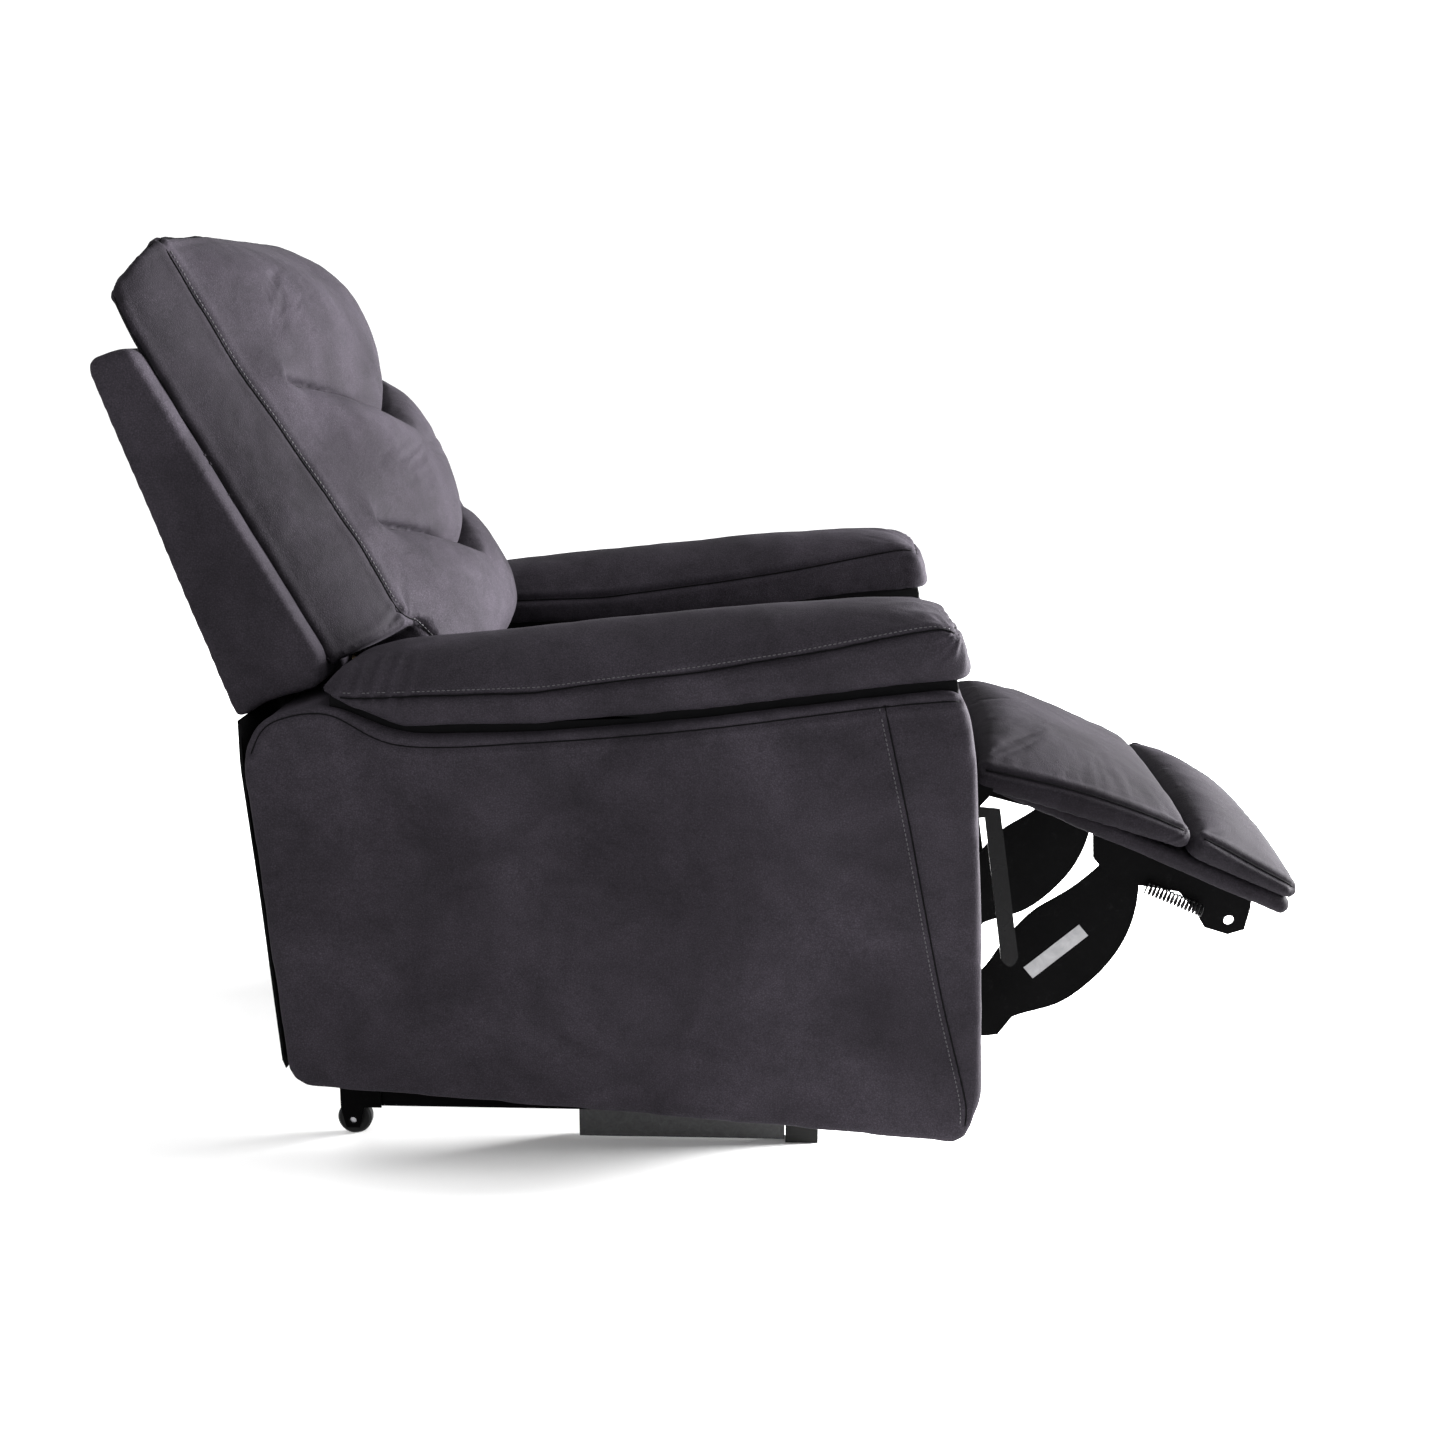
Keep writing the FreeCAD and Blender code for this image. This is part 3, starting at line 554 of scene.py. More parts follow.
LABEL = plastic("label", (0.18, 0.18, 0.185), 0.6, 0.1)
CAD_LOOKS = {"black_steel": BLACK_STEEL, "bright_steel": ZINC, "timber": WOOD, "rubber": RUBBER,
             "black_plastic": BLACK_PLASTIC, "label": LABEL, "upholstery": SUEDE}
for part in frame["record"]["subparts"]:
    node = NODES[part["node"]]
    look = CAD_LOOKS[part["material_slot"]]
    if part["node"].endswith("springs") and part["node"] != "footrest_springs":
        look = SPRING_STEEL
    elif part["node"] == "footrest_springs":
        look = LINK_STEEL
    elif "link" in part["node"] and part["material_slot"] == "bright_steel":
        look = LINK_STEEL
    elif part["node"] == "floor_skids":
        look = SKID_PAINT
    elif part["node"] == "seat_front_rail":
        # the seat front rail is covered in suede, in its darker copy as painted shade
        look = SUEDE_PAINTED_SHADE
    node.data.materials.clear()
    node.data.materials.append(look)


def finish_soft(obj, body, replaced, material=SUEDE):
    """Give a cushion its cover, its body and the CAD nodes it stands for."""
    obj.data.materials.clear()
    obj.data.materials.append(material)
    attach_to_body(obj, body)
    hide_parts(*replaced)


def attach(obj, body):
    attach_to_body(obj, body)


# ------------------------------------------------------------------ camera, floor, lights
# the camera that matches the photograph: its place, lens, tilt downward and turn
CAMERA_AT = (0.07281, -2.29, 0.94666)
CAMERA_LENS, CAMERA_TILT, CAMERA_TURN = 46.588, 12.381, 2.318
camera = bpy.data.objects.new("camera", bpy.data.cameras.new("camera"))
scene.collection.objects.link(camera)
camera.data.lens = CAMERA_LENS
camera.data.sensor_width = 36.0
camera.location = CAMERA_AT
camera.rotation_euler = (math.radians(90 - CAMERA_TILT), 0.0, math.radians(CAMERA_TURN))
scene.camera = camera

floor = make("floor", [(x, y, -0.0005) for x, y in ((-30, -30), (30, -30), (30, 30), (-30, 30))],
             [(0, 1, 2, 3)], False)
floor_look, _, floor_shader, _ = new_material("floor")
socket(floor_shader, "Base Color", (0.97, 0.97, 0.97, 1.0))
socket(floor_shader, "Roughness", 0.9)
floor.data.materials.append(floor_look)


def lamp(name, at, aim, size, power):
    light = bpy.data.lights.new(name, "AREA")
    light.shape = "RECTANGLE"
    light.size, light.size_y = size
    light.energy = power
    obj = bpy.data.objects.new(name, light)
    obj.location = at
    obj.rotation_euler = (Vector(aim) - Vector(at)).to_track_quat("-Z", "Y").to_euler()
    scene.collection.objects.link(obj)


lamp("window_front", (3.0, 0.6, 0.80), (-0.2, 0.0, 0.65), (1.3, 1.3), 1450)
lamp("top_soft", (0.7, 0.2, 2.9), (0.0, 0.0, 0.4), (1.8, 1.8), 60)
lamp("camera_side", (-1.2, -3.6, 2.0), (-0.2, 0.0, 0.4), (2.2, 1.6), 40)
studio = bpy.data.worlds.new("studio")
studio.use_nodes = True
studio.node_tree.nodes["Background"].inputs[0].default_value = (1, 1, 1, 1)
studio.node_tree.nodes["Background"].inputs[1].default_value = 1.18
scene.world = studio
scene.view_settings.view_transform = "Standard"


# ------------------------------------------------------------------ backrest cushion
# in mm of the leaning frame; u is the height up the cushion and y the place across it
BACK_HALF, SEAM_HALF, LOW_HALF = 350.0, 262.0, 231.0   # half widths: rear, seams, bottom
PEAK, REAR_OUT = 185.0, 45.0                           # how far the front and the rear stand out
TOP_U, LOW_U, WING_U = 588.0, 26.0, 114.0              # top, bottom, and where it widens
PINCH_Y, PLEAT = 207.0, 18.0                           # end of a crease, and the pleat past it
# each crease: height at the pinches and in the middle, depth in the middle and at the pinches
CREASES = ((409.0, 324.0, 68.0, 20.0), (226.0, 142.0, 74.0, 24.0))


def seam_out(u):
    """How far the side seams stand out at each height."""
    return np.interp(u, [60, 130, 212, 293, 372, 432, 525, 589],
                     [116, 119, 121, 115, 108, 103, 102, 102])


def crease_u(y, k):
    """Height of a crease across the back: a V that runs down to the middle."""
    side, middle = CREASES[k][:2]
    t = np.clip(np.sqrt(np.clip(np.abs(y) / PINCH_Y, 0, 1) ** 2 + 0.004) - 0.063, 0, 1)
    return middle + (side - middle) * (1.3 * t - 0.3 * t ** 2)


def crown(y, u):
    """How far the bolsters stand out, across the back."""
    t = np.clip(np.abs(y) / SEAM_HALF, 0, 1)
    edge = seam_out(u)
    return edge + (PEAK - edge) * (1 - t ** 2.6)


def crease_depth(y, k):
    """Depth of a crease: deep in the middle, ending in a short pleat at each pinch."""
    middle, side = CREASES[k][2:]
    t = np.clip(np.abs(y) / PINCH_Y, 0, 1)
    past = np.clip((np.abs(y) - PINCH_Y) / PLEAT, 0, 1)
    return (side + (middle - side) * (1 - t ** 2) ** 0.5) * (1 - past) ** 1.5


def back_front(y, u):
    """Front surface of the three bolsters: each hangs full over the crease below it."""
    y, u = np.broadcast_arrays(np.asarray(y, float), np.asarray(u, float))
    top, edge = crown(y, u), seam_out(u)
    c1, c2 = crease_u(y, 0), crease_u(y, 1)
    d1, d2 = crease_depth(y, 0), crease_depth(y, 1)
    low_edge, high_edge = np.full(y.shape, LOW_U - 4), np.full(y.shape, TOP_U + 2)
    out = top - d1
    bolsters = ((c1, high_edge, d1, None), (c2, c1, d2, d1), (low_edge, c2, top - 112, d2))
    for low, high, d_low, d_high in bolsters:
        inside = (u >= low) & (u <= high)
        s = np.clip(2 * (u - low) / (high - low) - 1, -1, 1)
        full = d_low * (1 - np.sqrt(np.clip(1 - np.abs(s) ** 2.0, 0, 1)))
        if d_high is None:
            slope = (top - edge) * np.abs(s) ** 2.0
        else:
            slope = d_high * (1 - np.sqrt(np.clip(1 - np.abs(s) ** 3.2, 0, 1)))
        out = np.where(inside, top - np.where(s < 0, full, slope), out)
    return out


def half_width(u):
    """Half width of the cushion at a height: narrow between the arms, wide above, rounded top."""
    wide = BACK_HALF - 22.0 * np.clip((u - (TOP_U - 50)) / 50, 0, 1) ** 2.4
    shelf = np.clip((u - (WING_U - 6)) / 8.0, 0, 1)
    shelf = shelf * shelf * (3 - 2 * shelf)
    return LOW_HALF + (wide - LOW_HALF) * shelf


def tilted(n, y, u):
    """Height after the top slopes down to the rear and rises a little in the middle."""
    near_top = np.clip((u - 470) / (TOP_U - 470), 0, 1) ** 1.6
    fall = 29.0 * np.clip((100 - n) / 55, 0, 1)
    rise = 12.0 * (1 - np.clip(np.abs(y) / BACK_HALF, 0, 1) ** 2)
    return u + near_top * (rise - fall)


def back_ring(u, shrink=1.0, rise=0.0):
    """Section of the cushion at one height: front surface, slanted boxing and back."""
    w = float(half_width(u))
    wf = min(w - 5.0, SEAM_HALF)
    ys = wf * np.sin(np.linspace(-math.pi / 2, math.pi / 2, 111))
    pts = list(zip(back_front(ys, u), ys))
    rim = float(crown(wf, u))
    side = []
    for k in (0.12, 0.26, 0.42, 0.58, 0.74, 0.88, 1.0):
        bulge = math.sin(math.pi * k)
        side.append((rim + (REAR_OUT + 2 - rim) * k + 6 * bulge, wf + (w - wf) * k + 7 * bulge))
    pts += side
    pts += [(REAR_OUT, y) for y in np.linspace(w - 5, -w + 5, 19)]
    pts += [(n, -y) for n, y in reversed(side)]
    centre = (rim + REAR_OUT) / 2
    pts = [(centre + (n - centre) * shrink, y * (1 - (1 - shrink) * 0.6)) for n, y in pts]
    return [(n, y, float(tilted(n, y, u)) + rise) for n, y in pts]


levels = np.concatenate([[LOW_U + 2, LOW_U + 6], np.arange(LOW_U + 12, WING_U - 14, 6),
                         np.arange(WING_U - 14, WING_U + 10, 2.0),
                         np.arange(WING_U + 10, TOP_U - 30, 4),
                         np.arange(TOP_U - 30, TOP_U + 0.1, 3)])
rings = [world(back_ring(LOW_U - 3, 0.86), BACK_AT, BACK_TURN)]
rings += [world(back_ring(float(u)), BACK_AT, BACK_TURN) for u in levels]
rings += [world(back_ring(TOP_U, shrink, rise), BACK_AT, BACK_TURN)
          for rise, shrink in ((2.5, 0.95), (5, 0.84), (7, 0.66), (8, 0.4))]
back = loft("back_cushion", rings)
remesh(back, 4.6 * MM)
smooth(back, 1)


def back_line(points):
    return world([(n, y, u) for y, u, n in points], BACK_AT, BACK_TURN)


def back_at(y, u, n):
    return (y, float(tilted(n, y, u)), n)


back_seams = {}
creases = []
for k in range(2):
    ys = np.linspace(-PINCH_Y - 4, PINCH_Y + 4, 140)
    line = [(y, float(crease_u(y, k)), float(back_front(y, crease_u(y, k)))) for y in ys]
    creases.append(back_line(line))
for side, sign in SIDES:
    line = [(sign * 232, 60, 140), (sign * 240, 84, 136)]
    line += [back_at(sign * SEAM_HALF, u, float(seam_out(u)))
             for u in np.linspace(128, TOP_U - 2, 26)]
    back_seams[side + "_front"] = resample(back_line(line), SAMPLE)
    line = [back_at(sign * float(half_width(u)), u, 47) for u in np.linspace(124, TOP_U - 2, 26)]
    back_seams[side + "_rear"] = resample(back_line(line), SAMPLE)
    back_seams[side + "_corner"] = resample(back_line([
        (sign * SEAM_HALF, 128, 119), (sign * 300, 114, 98), (sign * 346, 110, 72),
        (sign * 352, 113, 48)]), SAMPLE)
    back_seams[side + "_top"] = resample(back_line([
        back_at(sign * SEAM_HALF, TOP_U, 102),
        back_at(sign * (BACK_HALF - 22), TOP_U, 47)]), SAMPLE)
for key, rise, half, out in (("top_front", 1, 262, 102), ("top_rear", 2, 326, 48)):
    line = back_line([back_at(y, TOP_U + rise, out) for y in np.linspace(-half, half, 15)])
    back_seams[key] = resample(line, SAMPLE)
if SOFT_RUN:
    co = coords(back)
    d = distance_to(co, np.vstack(list(back_seams.values()) + creases))
    puff(back, np.clip(1.2 - d / PINNED, 0, 1), SIM_PRESSURE, 12 * MM)
subdivide(back)
for k, line in enumerate(creases):
    creases[k] = seam(back, line, 4.0 * MM, 4.5 * MM, 0.6 * MM)
for side, sign in SIDES:
    for k in range(2):
        pinch = back_line([(sign * (PINCH_Y + 4), float(crease_u(PINCH_Y, k)) + 3, 128.0)])[0]
        gathers(back, pinch, 40 * MM, 0.6 * MM, 6, 30 + k)
    corner = back_line([(sign * (SEAM_HALF - 6), 112.0, 122.0)])[0]
    gathers(back, corner, 55 * MM, 0.9 * MM, 9, 40)
wrinkle(back, 1.5 * MM, 70 * MM, 5)
for key, path in back_seams.items():
    back_seams[key] = seam(back, path)
    if not key.endswith("corner"):
        # near-black line in the seam groove: painted shadow
        attach(cord(key + "_back_seam", back, back_seams[key]), "backrest")
for k, line in enumerate(creases):
    # near-black lines in the crease grooves: painted shadow
    attach(cord("back_crease_%d" % k, back, line, 1.1 * MM, 1.6 * MM), "backrest")
finish_soft(back, "backrest", ["back_cushion_core", "head_bolster", "lumbar_bolster",
                               "lower_bolster"])
# faces outside the side seams, the boxed sides, take the darker suede as painted shade
back.data.materials.append(SUEDE_PAINTED_SHADE)
boxing = [1 if abs(face.center[1]) > (SEAM_HALF + 1) * MM else 0 for face in back.data.polygons]
back.data.polygons.foreach_set("material_index", boxing)
for side, sign in SIDES:
    path = back_seams[side + "_front"]
    inner = path + np.array([0.0, -sign * 0.0055, 0.0])
    attach(stitches(side + "_back_topstitch", back, inner), "backrest")


# ------------------------------------------------------------------ extruded padded panels
def outline_path(points, step):
    """Closed polyline through (x, z) corners, evenly sampled."""
    p = [(x, 0.0, z) for x, z in points]
    p.append(p[0])
    return resample(p, step)[:-1]


def rounded(points, radius):
    """Polygon with its corners rounded; each point may carry its own radius."""
    out = []
    n = len(points)
    for i in range(n):
        p = np.array(points[i][:2], float)
        r = points[i][2] if len(points[i]) > 2 else radius
        a = np.array(points[i - 1][:2], float) - p
        b = np.array(points[(i + 1) % n][:2], float) - p
        la, lb = np.linalg.norm(a), np.linalg.norm(b)
        cut = min(r, 0.45 * la, 0.45 * lb)
        if cut < 0.5:
            out.append(tuple(p))
            continue
        start, end = p + a / la * cut, p + b / lb * cut
        for t in np.linspace(0, 1, 5):
            out.append(tuple((1 - t) ** 2 * start + 2 * t * (1 - t) * p + t * t * end))
    return out


def slab(name, points, low_y, high_y, edge=8.0, inset=5.0, step=10.0, at=(0, 0), turn=0.0):
    """Upholstered panel: side outline given a width, with rolled edges."""
    base = outline_path(points, step)[:, [0, 2]]
    nxt, prv = np.roll(base, -1, 0), np.roll(base, 1, 0)
    tangent = nxt - prv
    tangent /= np.linalg.norm(tangent, axis=1)[:, None]
    area = np.sum(base[:, 0] * nxt[:, 1] - nxt[:, 0] * base[:, 1])
    inward = np.stack([-tangent[:, 1], tangent[:, 0]], 1) * (1 if area > 0 else -1)
    middle = base.mean(0)
    curve = np.linspace(0, math.pi / 2, 6)
    stack = [(low_y + edge * (1 - math.cos(a)), inset * (1 - math.sin(a))) for a in curve]
    stack += [(y, 0.0) for y in np.arange(low_y + edge + step, high_y - edge - step / 2, step)]
    stack += [(high_y - edge * (1 - math.cos(a)), inset * (1 - math.sin(a))) for a in curve[::-1]]

    def ring(y, pulled, share=1.0):
        flat = middle + (base + inward * pulled - middle) * share
        return world([(x, y, z) for x, z in flat], at, turn)

    rings = [ring(low_y, inset, share) for share in (0.25, 0.5, 0.75)]
    rings += [ring(y, pulled) for y, pulled in stack]
    rings += [ring(high_y, inset, share) for share in (0.75, 0.5, 0.25)]
    return loft(name, rings)


def grown(points, amount):
    """Outline moved outward a little, to make up for what smoothing takes off."""
    p = np.array([q[:2] for q in points], float)
    nxt, prv = np.roll(p, -1, 0), np.roll(p, 1, 0)
    area = np.sum(p[:, 0] * nxt[:, 1] - nxt[:, 0] * p[:, 1])
    t = nxt - prv
    t /= np.linalg.norm(t, axis=1)[:, None]
    out = np.stack([t[:, 1], -t[:, 0]], 1) * (1 if area > 0 else -1)
    return [tuple(q) for q in p + out * amount]


# the outlines below are (x, z) corners in mm, seen from the side, some with their own radius
GROWTH = 2.5                        # added to an outline, because smoothing takes it off again
SHELL_HALF = 371.0                  # half width of the outer back
OUTER_BACK = grown(rounded([(-511, 524, 8), (-648, 897, 12), (-603, 911, 10), (-419, 588, 8),
                            (-424, 560, 6), (-452, 553, 20), (-486, 543, 20)], 10), GROWTH)
outer_back = slab("outer_back", OUTER_BACK, -SHELL_HALF, SHELL_HALF, 9)
remesh(outer_back, 6 * MM)
smooth(outer_back, 2)
subdivide(outer_back)
for side, sign in SIDES:
    for line in ([(-504, 535), (-640, 897)], [(-610, 902), (-428, 588)]):
        path = resample(world([(x, sign * SHELL_HALF, z) for x, z in line]), SAMPLE)
        seam(outer_back, path, 1.3 * MM, 2.6 * MM, 0.3 * MM)
wrinkle(outer_back, 0.6 * MM, 90 * MM, 9)
finish_soft(outer_back, "backrest", ["back_rear_panel", "back_side_panels", "back_top_panel"])

ARM = grown(rounded([(-480, 336, 0), (-495, 489, 30), (-475, 531, 26), (-406, 548, 26),
                     (-329, 514, 30), (-182, 519, 20), (-16, 534, 20), (168, 559, 20),
                     (244, 567, 8), (258, 544, 8),
                     (267, 496, 10), (276, 346, 10), (283, 122, 4), (265, 72, 12), (231, 75, 4),
                     (-126, 103, 10), (-447, 125, 10), (-463, 138, 10)], 10), GROWTH)
ARM_IN, ARM_OUT = 247.5, 412.0      # an arm's two sides, from the chair's middle
FRONT_SEAM = [(173, 553), (202, 421), (237, 246), (267, 122), (268, 92)]
PANEL_SEAM = [(-487, 500), (-467, 533), (-406, 544), (-329, 510), (-182, 515), (-16, 530),
              (168, 555), (250, 563)]
# outline of a near-black strip in the gap under each arm pad: painted shadow
PAD_GAP_SHADOW = [(-404, 538), (-327, 500), (-182, 505), (-16, 520), (168, 545), (248, 551),
             (250, 579), (168, 574), (-16, 548), (-182, 533), (-327, 528), (-404, 560)]
for side, sign in SIDES:
    low, high = sorted((sign * ARM_IN, sign * ARM_OUT))
    arm = slab(side + "_arm", ARM, low, high, 9)
    remesh(arm, 6 * MM)
    smooth(arm, 2)
    subdivide(arm)
    wrinkle(arm, 1.2 * MM, 120 * MM, 12)
    path = resample(spline(world([(x, sign * ARM_OUT, z) for x, z in FRONT_SEAM])), SAMPLE)
    path = seam(arm, path, 1.8 * MM, 2.6 * MM, 0.5 * MM)
    # near-black lines in the seam grooves: painted shadow
    attach(cord(side + "_front_seam", arm, path, 0.8 * MM, 0.8 * MM), "base")
    attach(stitches(side + "_front_topstitch", arm, path - np.array([0.006, 0, 0])), "base")
    path = resample(spline(world([(x, sign * ARM_OUT, z) for x, z in PANEL_SEAM])), SAMPLE)
    line = seam(arm, path - np.array([0, 0, 0.004]), 1.6 * MM, 2.6 * MM, 1.2 * MM)
    attach(cord(side + "_panel_seam", arm, line, 0.7 * MM, 0.7 * MM), "base")
    low, high = sorted((sign * 254.0, sign * 402.0))
    # near-black strip in the gap under the pad: painted shadow
    inside = slab(side + "_pad_gap_shadow", PAD_GAP_SHADOW, low, high, 3, 2.0, 12.0)
    inside.data.materials.append(DUST_AND_SHADOW_CLOTH)
    attach(inside, "base")
    finish_soft(arm, "base", [side + "_arm_outer_panel", side + "_arm_inner_panel",
                              side + "_arm_front_panel"])

# dust covers at the rear and below the back cushion; their near-black also paints the shade in
# those gaps
REAR_CLOTH = [(-503, 528), (-503, 480), (-490, 340), (-474, 140), (-470, 140), (-486, 340),
              (-498, 480), (-498, 528)]
rear_cloth = slab("rear_dust_cloth", REAR_CLOTH, -398, 398, 2.5, 1.0, 14.0)
rear_cloth.data.materials.append(DUST_AND_SHADOW_CLOTH)
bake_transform(rear_cloth)
GUSSET = rounded([(-52, 40), (-40, 104), (41, 104), (41, 22), (10, -20), (-35, 0)], 14)
gusset = slab("back_dust_cloth", GUSSET, -220, 220, 6, 4.0, 14.0, BACK_AT, BACK_TURN)
gusset.data.materials.append(DUST_AND_SHADOW_CLOTH)
attach(gusset, "backrest")


# ------------------------------------------------------------------ arm pads
def arm_height(x):
    """Top edge of the arm panel under the pad."""
    return float(np.interp(x, [-406, -329, -182, -16, 168, 247], [552, 518, 523, 538, 563, 571]))


def pad_crest(x):
    """Top of the pad along its middle."""
    return float(np.interp(
        x, [-420, -400, -388, -344, -280, -214, -120, -21, 60, 138, 190, 217, 240, 254, 260],
        [560, 579, 589, 599, 604, 609, 619, 630, 640, 646, 648, 646, 634, 616, 600]))


def pad_seam(x):
    """Height of the seam round the pad's sides."""
    return float(np.interp(x, [-420, -407, -300, -182, -17, 80, 157, 243, 262],
                           [553, 556, 560, 565, 588, 604, 620, 638, 634])) - 1.0


PAD_IN, PAD_OUT = 246.0, 412.0


def pad_ring(x, shrink):
    """Section of the arm pad at one place along the arm: (x, y, z) from the inner bottom round."""
    low, crest, side = arm_height(x) + 4.5, pad_crest(x), pad_seam(x)
    side = min(side, crest - 4)
    side = max(side, low + 6)
    mid_y, mid_z = (PAD_IN + PAD_OUT) / 2, (low + crest) / 2
    half = (PAD_OUT - PAD_IN) / 2
    pts = []
    for t in np.linspace(-1, 1, 13):
        pts.append((mid_y + t * (half - 9), low + 1.5 * t * t))
    for t in np.linspace(0.12, 0.95, 7):
        z = low + (side - low) * t
        pts.append((PAD_OUT - 8 + 8 * math.sin(t * math.pi * 0.75), z))
    for t in np.linspace(0, math.pi, 31):
        c, s_ = math.cos(t), math.sin(t)
        y = mid_y + (half - 3.0) * (abs(c) ** 0.72) * (1 if c > 0 else -1)
        z = side + (crest - side) * (s_ ** 0.85)
        pts.append((y, z))
    for t in np.linspace(0.95, 0.12, 7):
        z = low + (side - low) * t
        pts.append((PAD_IN + 8 - 8 * math.sin(t * math.pi * 0.75), z))
    narrow = 1 - (1 - shrink) * 0.45
    return [(x, mid_y + (y - mid_y) * narrow, mid_z + (z - mid_z) * shrink) for y, z in pts]


# places along the arm, with how full the pad is there
PAD_STATIONS = [(-417, 0.2), (-415, 0.45), (-410, 0.68), (-402, 0.85), (-390, 0.95), (-376, 1.0)]
PAD_STATIONS += [(x, 1.0) for x in range(-364, 238, 8)]
PAD_STATIONS += [(240, 0.99), (248, 0.95), (254, 0.88), (258, 0.76), (261, 0.55), (262, 0.3)]
for side, sign in SIDES:
    rings = [world([(x, sign * y, z) for x, y, z in pad_ring(x, k)]) for x, k in PAD_STATIONS]
    pad = loft(side + "_arm_pad_cover", rings)
    remesh(pad, 5 * MM)
    smooth(pad, 3)
    stations = range(-392, 256, 8)
    outer = resample(world([(x, sign * (PAD_OUT - 1.0), pad_seam(x)) for x in stations]), SAMPLE)
    inner = resample(world([(x, sign * (PAD_IN + 1.0), pad_seam(x)) for x in stations]), SAMPLE)
    front = resample(world([(257, sign * y, 632) for y in range(256, 404, 8)]), SAMPLE)
    if SOFT_RUN:
        co = coords(pad)
        d = distance_to(co, np.vstack([outer, inner, front]))
        under = np.array([arm_height((p[0] / MM) - DATUM) for p in co]) * MM
        held = np.maximum(np.clip(1.2 - d / PINNED, 0, 1), (co[:, 2] < under + 8 * MM) * 1.0)
        puff(pad, held, SIM_PRESSURE, 9 * MM)
    subdivide(pad)
    wrinkle(pad, 1.1 * MM, 85 * MM, 15)
    tail = world([(-352, sign * 398, 578)])[0]
    pleats(pad, tail, (0.25, 0, 1), (1, 0, -0.2), 28 * MM, 1.8 * MM, 5.0, 44 * MM)
    nose = world([(244, sign * 352, 612)])[0]
    pleats(pad, nose, (0.2, sign * 0.5, 1), (0.6, sign * 0.9, -0.3), 46 * MM, 1.9 * MM, 2.6,
           56 * MM)
    gathers(pad, world([(252, sign * 405, 634)])[0], 42 * MM, 2.0 * MM, 9, 50)
    outer = seam(pad, outer, 3.2 * MM, 3.2 * MM, 1.2 * MM)
    inner = seam(pad, inner)
    front = seam(pad, front)
    # near-black lines in the pad's seam grooves: painted shadow
    for label, line, sunk in (("outer", outer, 1.5), ("inner", inner, 1.0), ("front", front, 1.0)):
        attach(cord("%s_pad_%s_seam" % (side, label), pad, line, sunk=sunk * MM), "base")
    finish_soft(pad, "base", [side + "_arm_pad"])
    above = outer + np.array([0, 0, 0.005])
    attach(stitches(side + "_pad_topstitch", pad, above), "base")

# ------------------------------------------------------------------ seat and footrest pads
WRAP = rounded([(0, -2), (384, -3), (386, 8), (384, 19), (0, 19)], 5)
wrap = slab("footrest_wrap", WRAP, -230, 230, 7, 5.0, 10.0, at=FOOT_AT, turn=FOOT_TURN)
remesh(wrap, 5 * MM)
smooth(wrap, 3)
subdivide(wrap)
wrinkle(wrap, 0.8 * MM, 60 * MM, 21)
# the footrest wrap takes the darker suede as painted shade
finish_soft(wrap, "footrest", ["footrest_board"], SUEDE_PAINTED_SHADE)


def pillow_ring(half, low, high, crown_h, floor_at):
    """Section across Y of a boxed pad with a crowned top."""
    ys = half * np.sin(np.linspace(-math.pi / 2, math.pi / 2, 41))
    t = np.abs(ys) / half
    top = high + crown_h * (1 - t ** 2.6) ** 0.62
    pts = [(y, z) for y, z in zip(ys, top)]
    box_h = high - low
    pts += [(half + 4 * math.sin(k * math.pi), high - k * box_h) for k in (0.2, 0.4, 0.6, 0.8)]
    inside = half - 9
    under = [half - 2, inside + 2, inside, inside - 3]
    under += list(np.linspace(inside - 12, -inside + 12, 13))
    under += [-inside + 3, -inside, -inside - 2, -half + 2]
    pts += [(y, low if abs(y) > inside else max(low, floor_at)) for y in under]
    pts += [(-half - 4 * math.sin(k * math.pi), high - k * box_h) for k in (0.8, 0.6, 0.4, 0.2)]
    return pts


def boxed_pad(name, profile, half, frame_at, turn, floor_at=-1e9):
    """Pad lofted along its profile rows."""
    rings = []
    for x, low, high, crown_h, share in profile:
        ring = pillow_ring(half * share, low, high, crown_h, floor_at)
        rings.append(world([(x, y, z) for y, z in ring], frame_at, turn))
    return loft(name, rings)


def between(rows):
    """Profile rows every 7 mm, with the given ones kept."""
    rows = np.array(rows, float)
    xs = np.unique(np.concatenate([np.arange(rows[0, 0], rows[-1, 0], 7.0), rows[:, 0]]))
    return [(x, *[float(np.interp(x, rows[:, 0], rows[:, k])) for k in range(1, 5)]) for x in xs]


# profile rows, front to back: along, base, seam height, crown, share of the full width
SEAT = [(-324, 452, 458, 4, 0.96), (-316, 450, 466, 6, 0.99), (-200, 450, 476, 12, 1.0),
        (60, 450, 490, 16, 1.0), (200, 450, 492, 17, 1.0), (246, 444, 488, 16, 1.0),
        (262, 441, 480, 15, 0.995), (272, 442, 470, 12, 0.985), (278, 446, 462, 8, 0.97),
        (281, 450, 456, 3, 0.94)]
seat = boxed_pad("seat_cover", between(SEAT), 238, (0, 0), 0)
remesh(seat, 6 * MM)
smooth(seat, 3)
if SOFT_RUN:
    co = coords(seat)
    puff(seat, (co[:, 2] < 462 * MM) * 1.0, 3.0, 8 * MM)
subdivide(seat)
finish_soft(seat, "base", ["seat_cushion"])

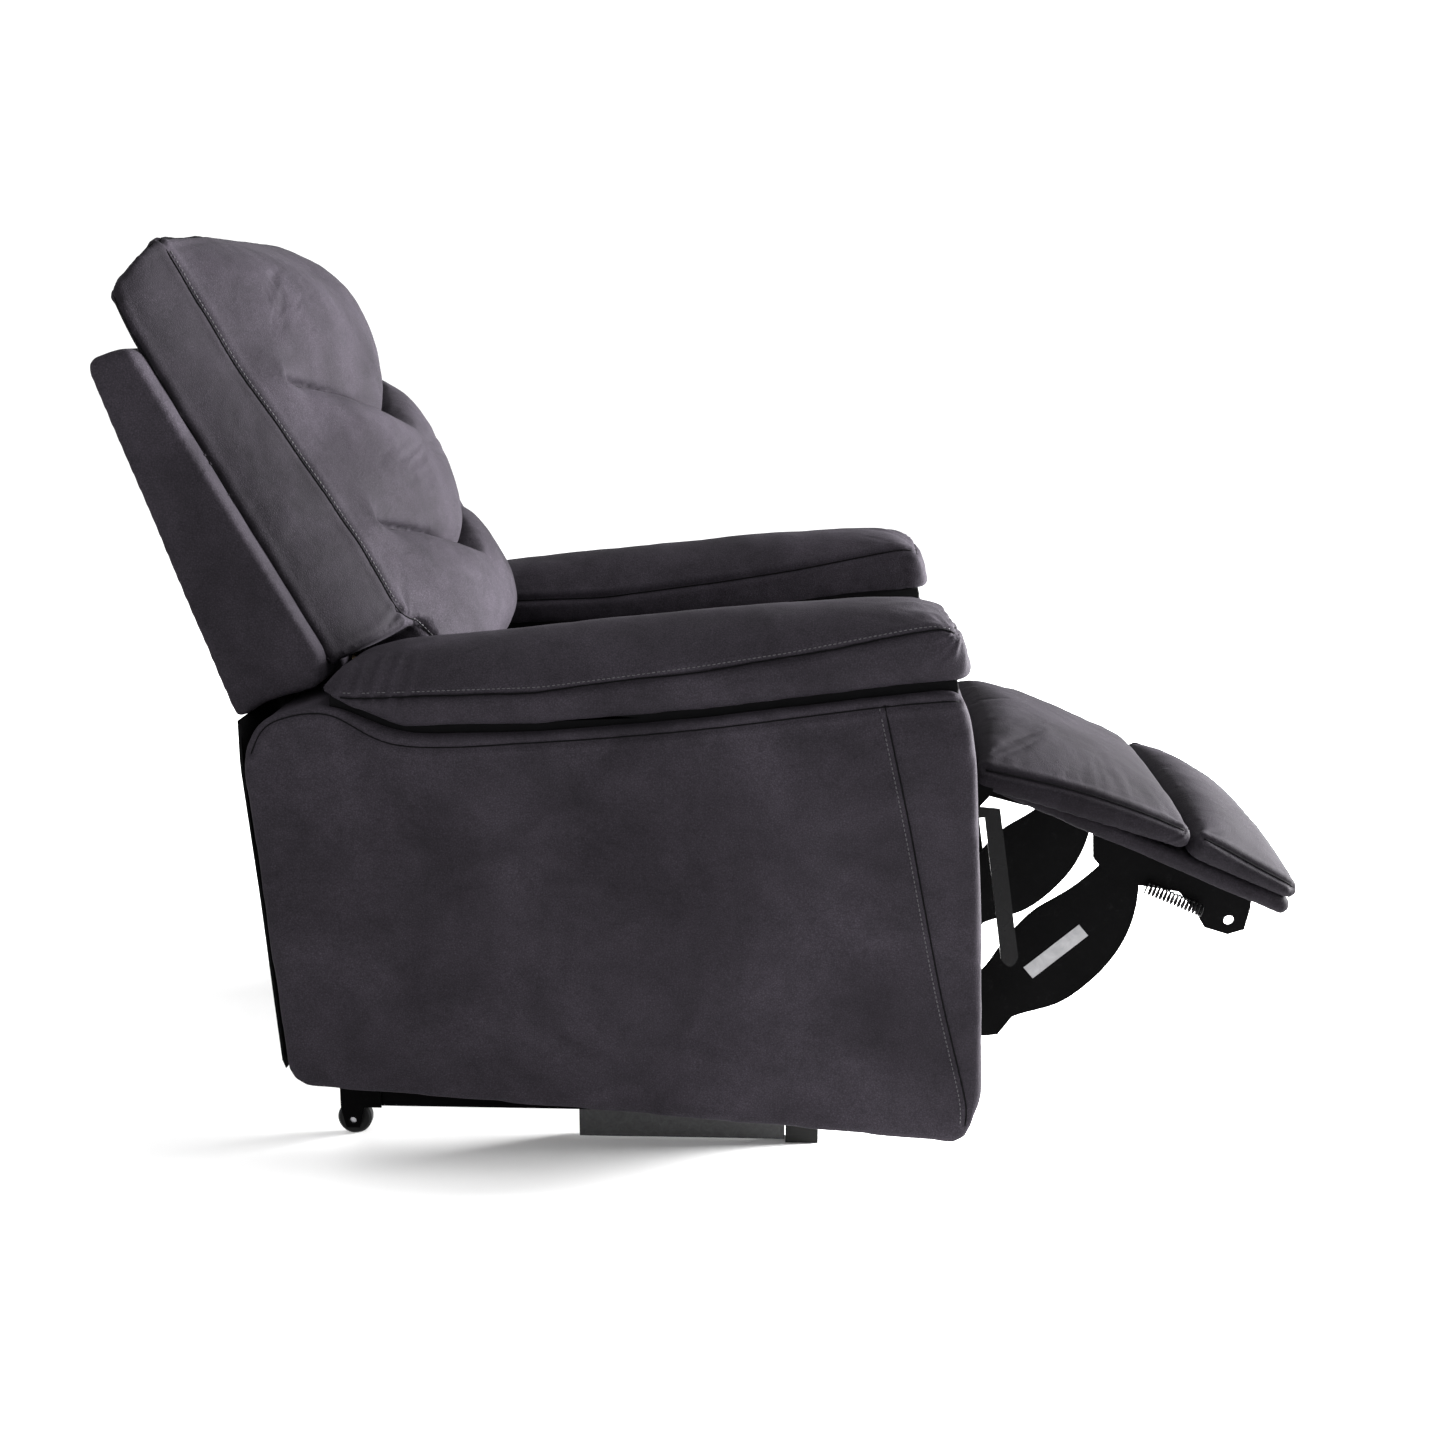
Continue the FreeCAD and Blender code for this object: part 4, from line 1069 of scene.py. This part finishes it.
FOOT_HALF = 237                     # half width of the footrest's pads
CALF = [(-13, 3, 12, 6, 0.985), (-10, -2, 18, 22, 0.995), (-2, -3, 21, 36, 1.0),
        (20, -1, 25, 43, 1.0), (50, 3, 31, 39, 1.0), (81, 7, 37, 33, 1.0),
        (120, 11, 42, 28, 1.0), (162, 16, 46, 22, 1.0), (205, 21, 48, 17, 1.0),
        (232, 24, 48, 9, 1.0), (241, 25, 44, 4, 0.99), (244, 29, 37, 1, 0.97)]
TOE = [(246, 25, 34, 1, 0.96), (249, 22, 43, 5, 0.985), (256, 20, 48, 13, 1.0),
       (280, 19, 46, 25, 1.0), (305, 19, 43, 27, 1.0), (335, 19, 40, 25, 1.0),
       (352, 19, 39, 21, 1.0), (366, 19, 38, 16, 1.0), (374, 19, 37, 11, 0.99),
       (378, 20, 36, 6, 0.98), (380, 21, 33, 2, 0.965)]
for name, rows, node in (("calf_cover", CALF, "calf_pad"), ("toe_cover", TOE, "foot_pad")):
    pad = boxed_pad(name, between(rows), FOOT_HALF, FOOT_AT, FOOT_TURN, 19.4)
    remesh(pad, 5 * MM)
    smooth(pad, 3)
    first, last = rows[2][0], rows[-3][0]
    edge = []
    for sign in (-1, 1):
        line = [(x, sign * FOOT_HALF, np.interp(x, [r[0] for r in rows], [r[2] for r in rows]))
                for x in np.linspace(first, last, 20)]
        edge.append(resample(world(line, FOOT_AT, FOOT_TURN), SAMPLE))
    if SOFT_RUN:
        co = coords(pad)
        d = distance_to(co, np.vstack(edge))
        a = math.radians(FOOT_TURN)
        height = ((co[:, 0] / MM - DATUM - FOOT_AT[0]) * math.sin(a)
                  + (co[:, 2] / MM - FOOT_AT[1]) * math.cos(a))
        held = np.maximum(np.clip(1.2 - d / PINNED, 0, 1), (height < 24) * 1.0)
        puff(pad, held, SIM_PRESSURE, 9 * MM)
    subdivide(pad)
    wrinkle(pad, 1.0 * MM, 80 * MM, 25)
    for sign, path in zip((-1, 1), edge):
        x = last + 4 if name == "calf_cover" else first - 4
        corner = world([(x, sign * 232, 44)], FOOT_AT, FOOT_TURN)[0]
        gathers(pad, corner, 34 * MM, 1.1 * MM, 7, 60)
        path = seam(pad, path)
        side = "left" if sign > 0 else "right"
        # near-black line in the seam groove: painted shadow
        attach(cord("%s_%s_seam" % (name, side), pad, path), "footrest")
    # the calf and toe pads take the darker suede as painted shade
    finish_soft(pad, "footrest", [node], SUEDE_PAINTED_SHADE)
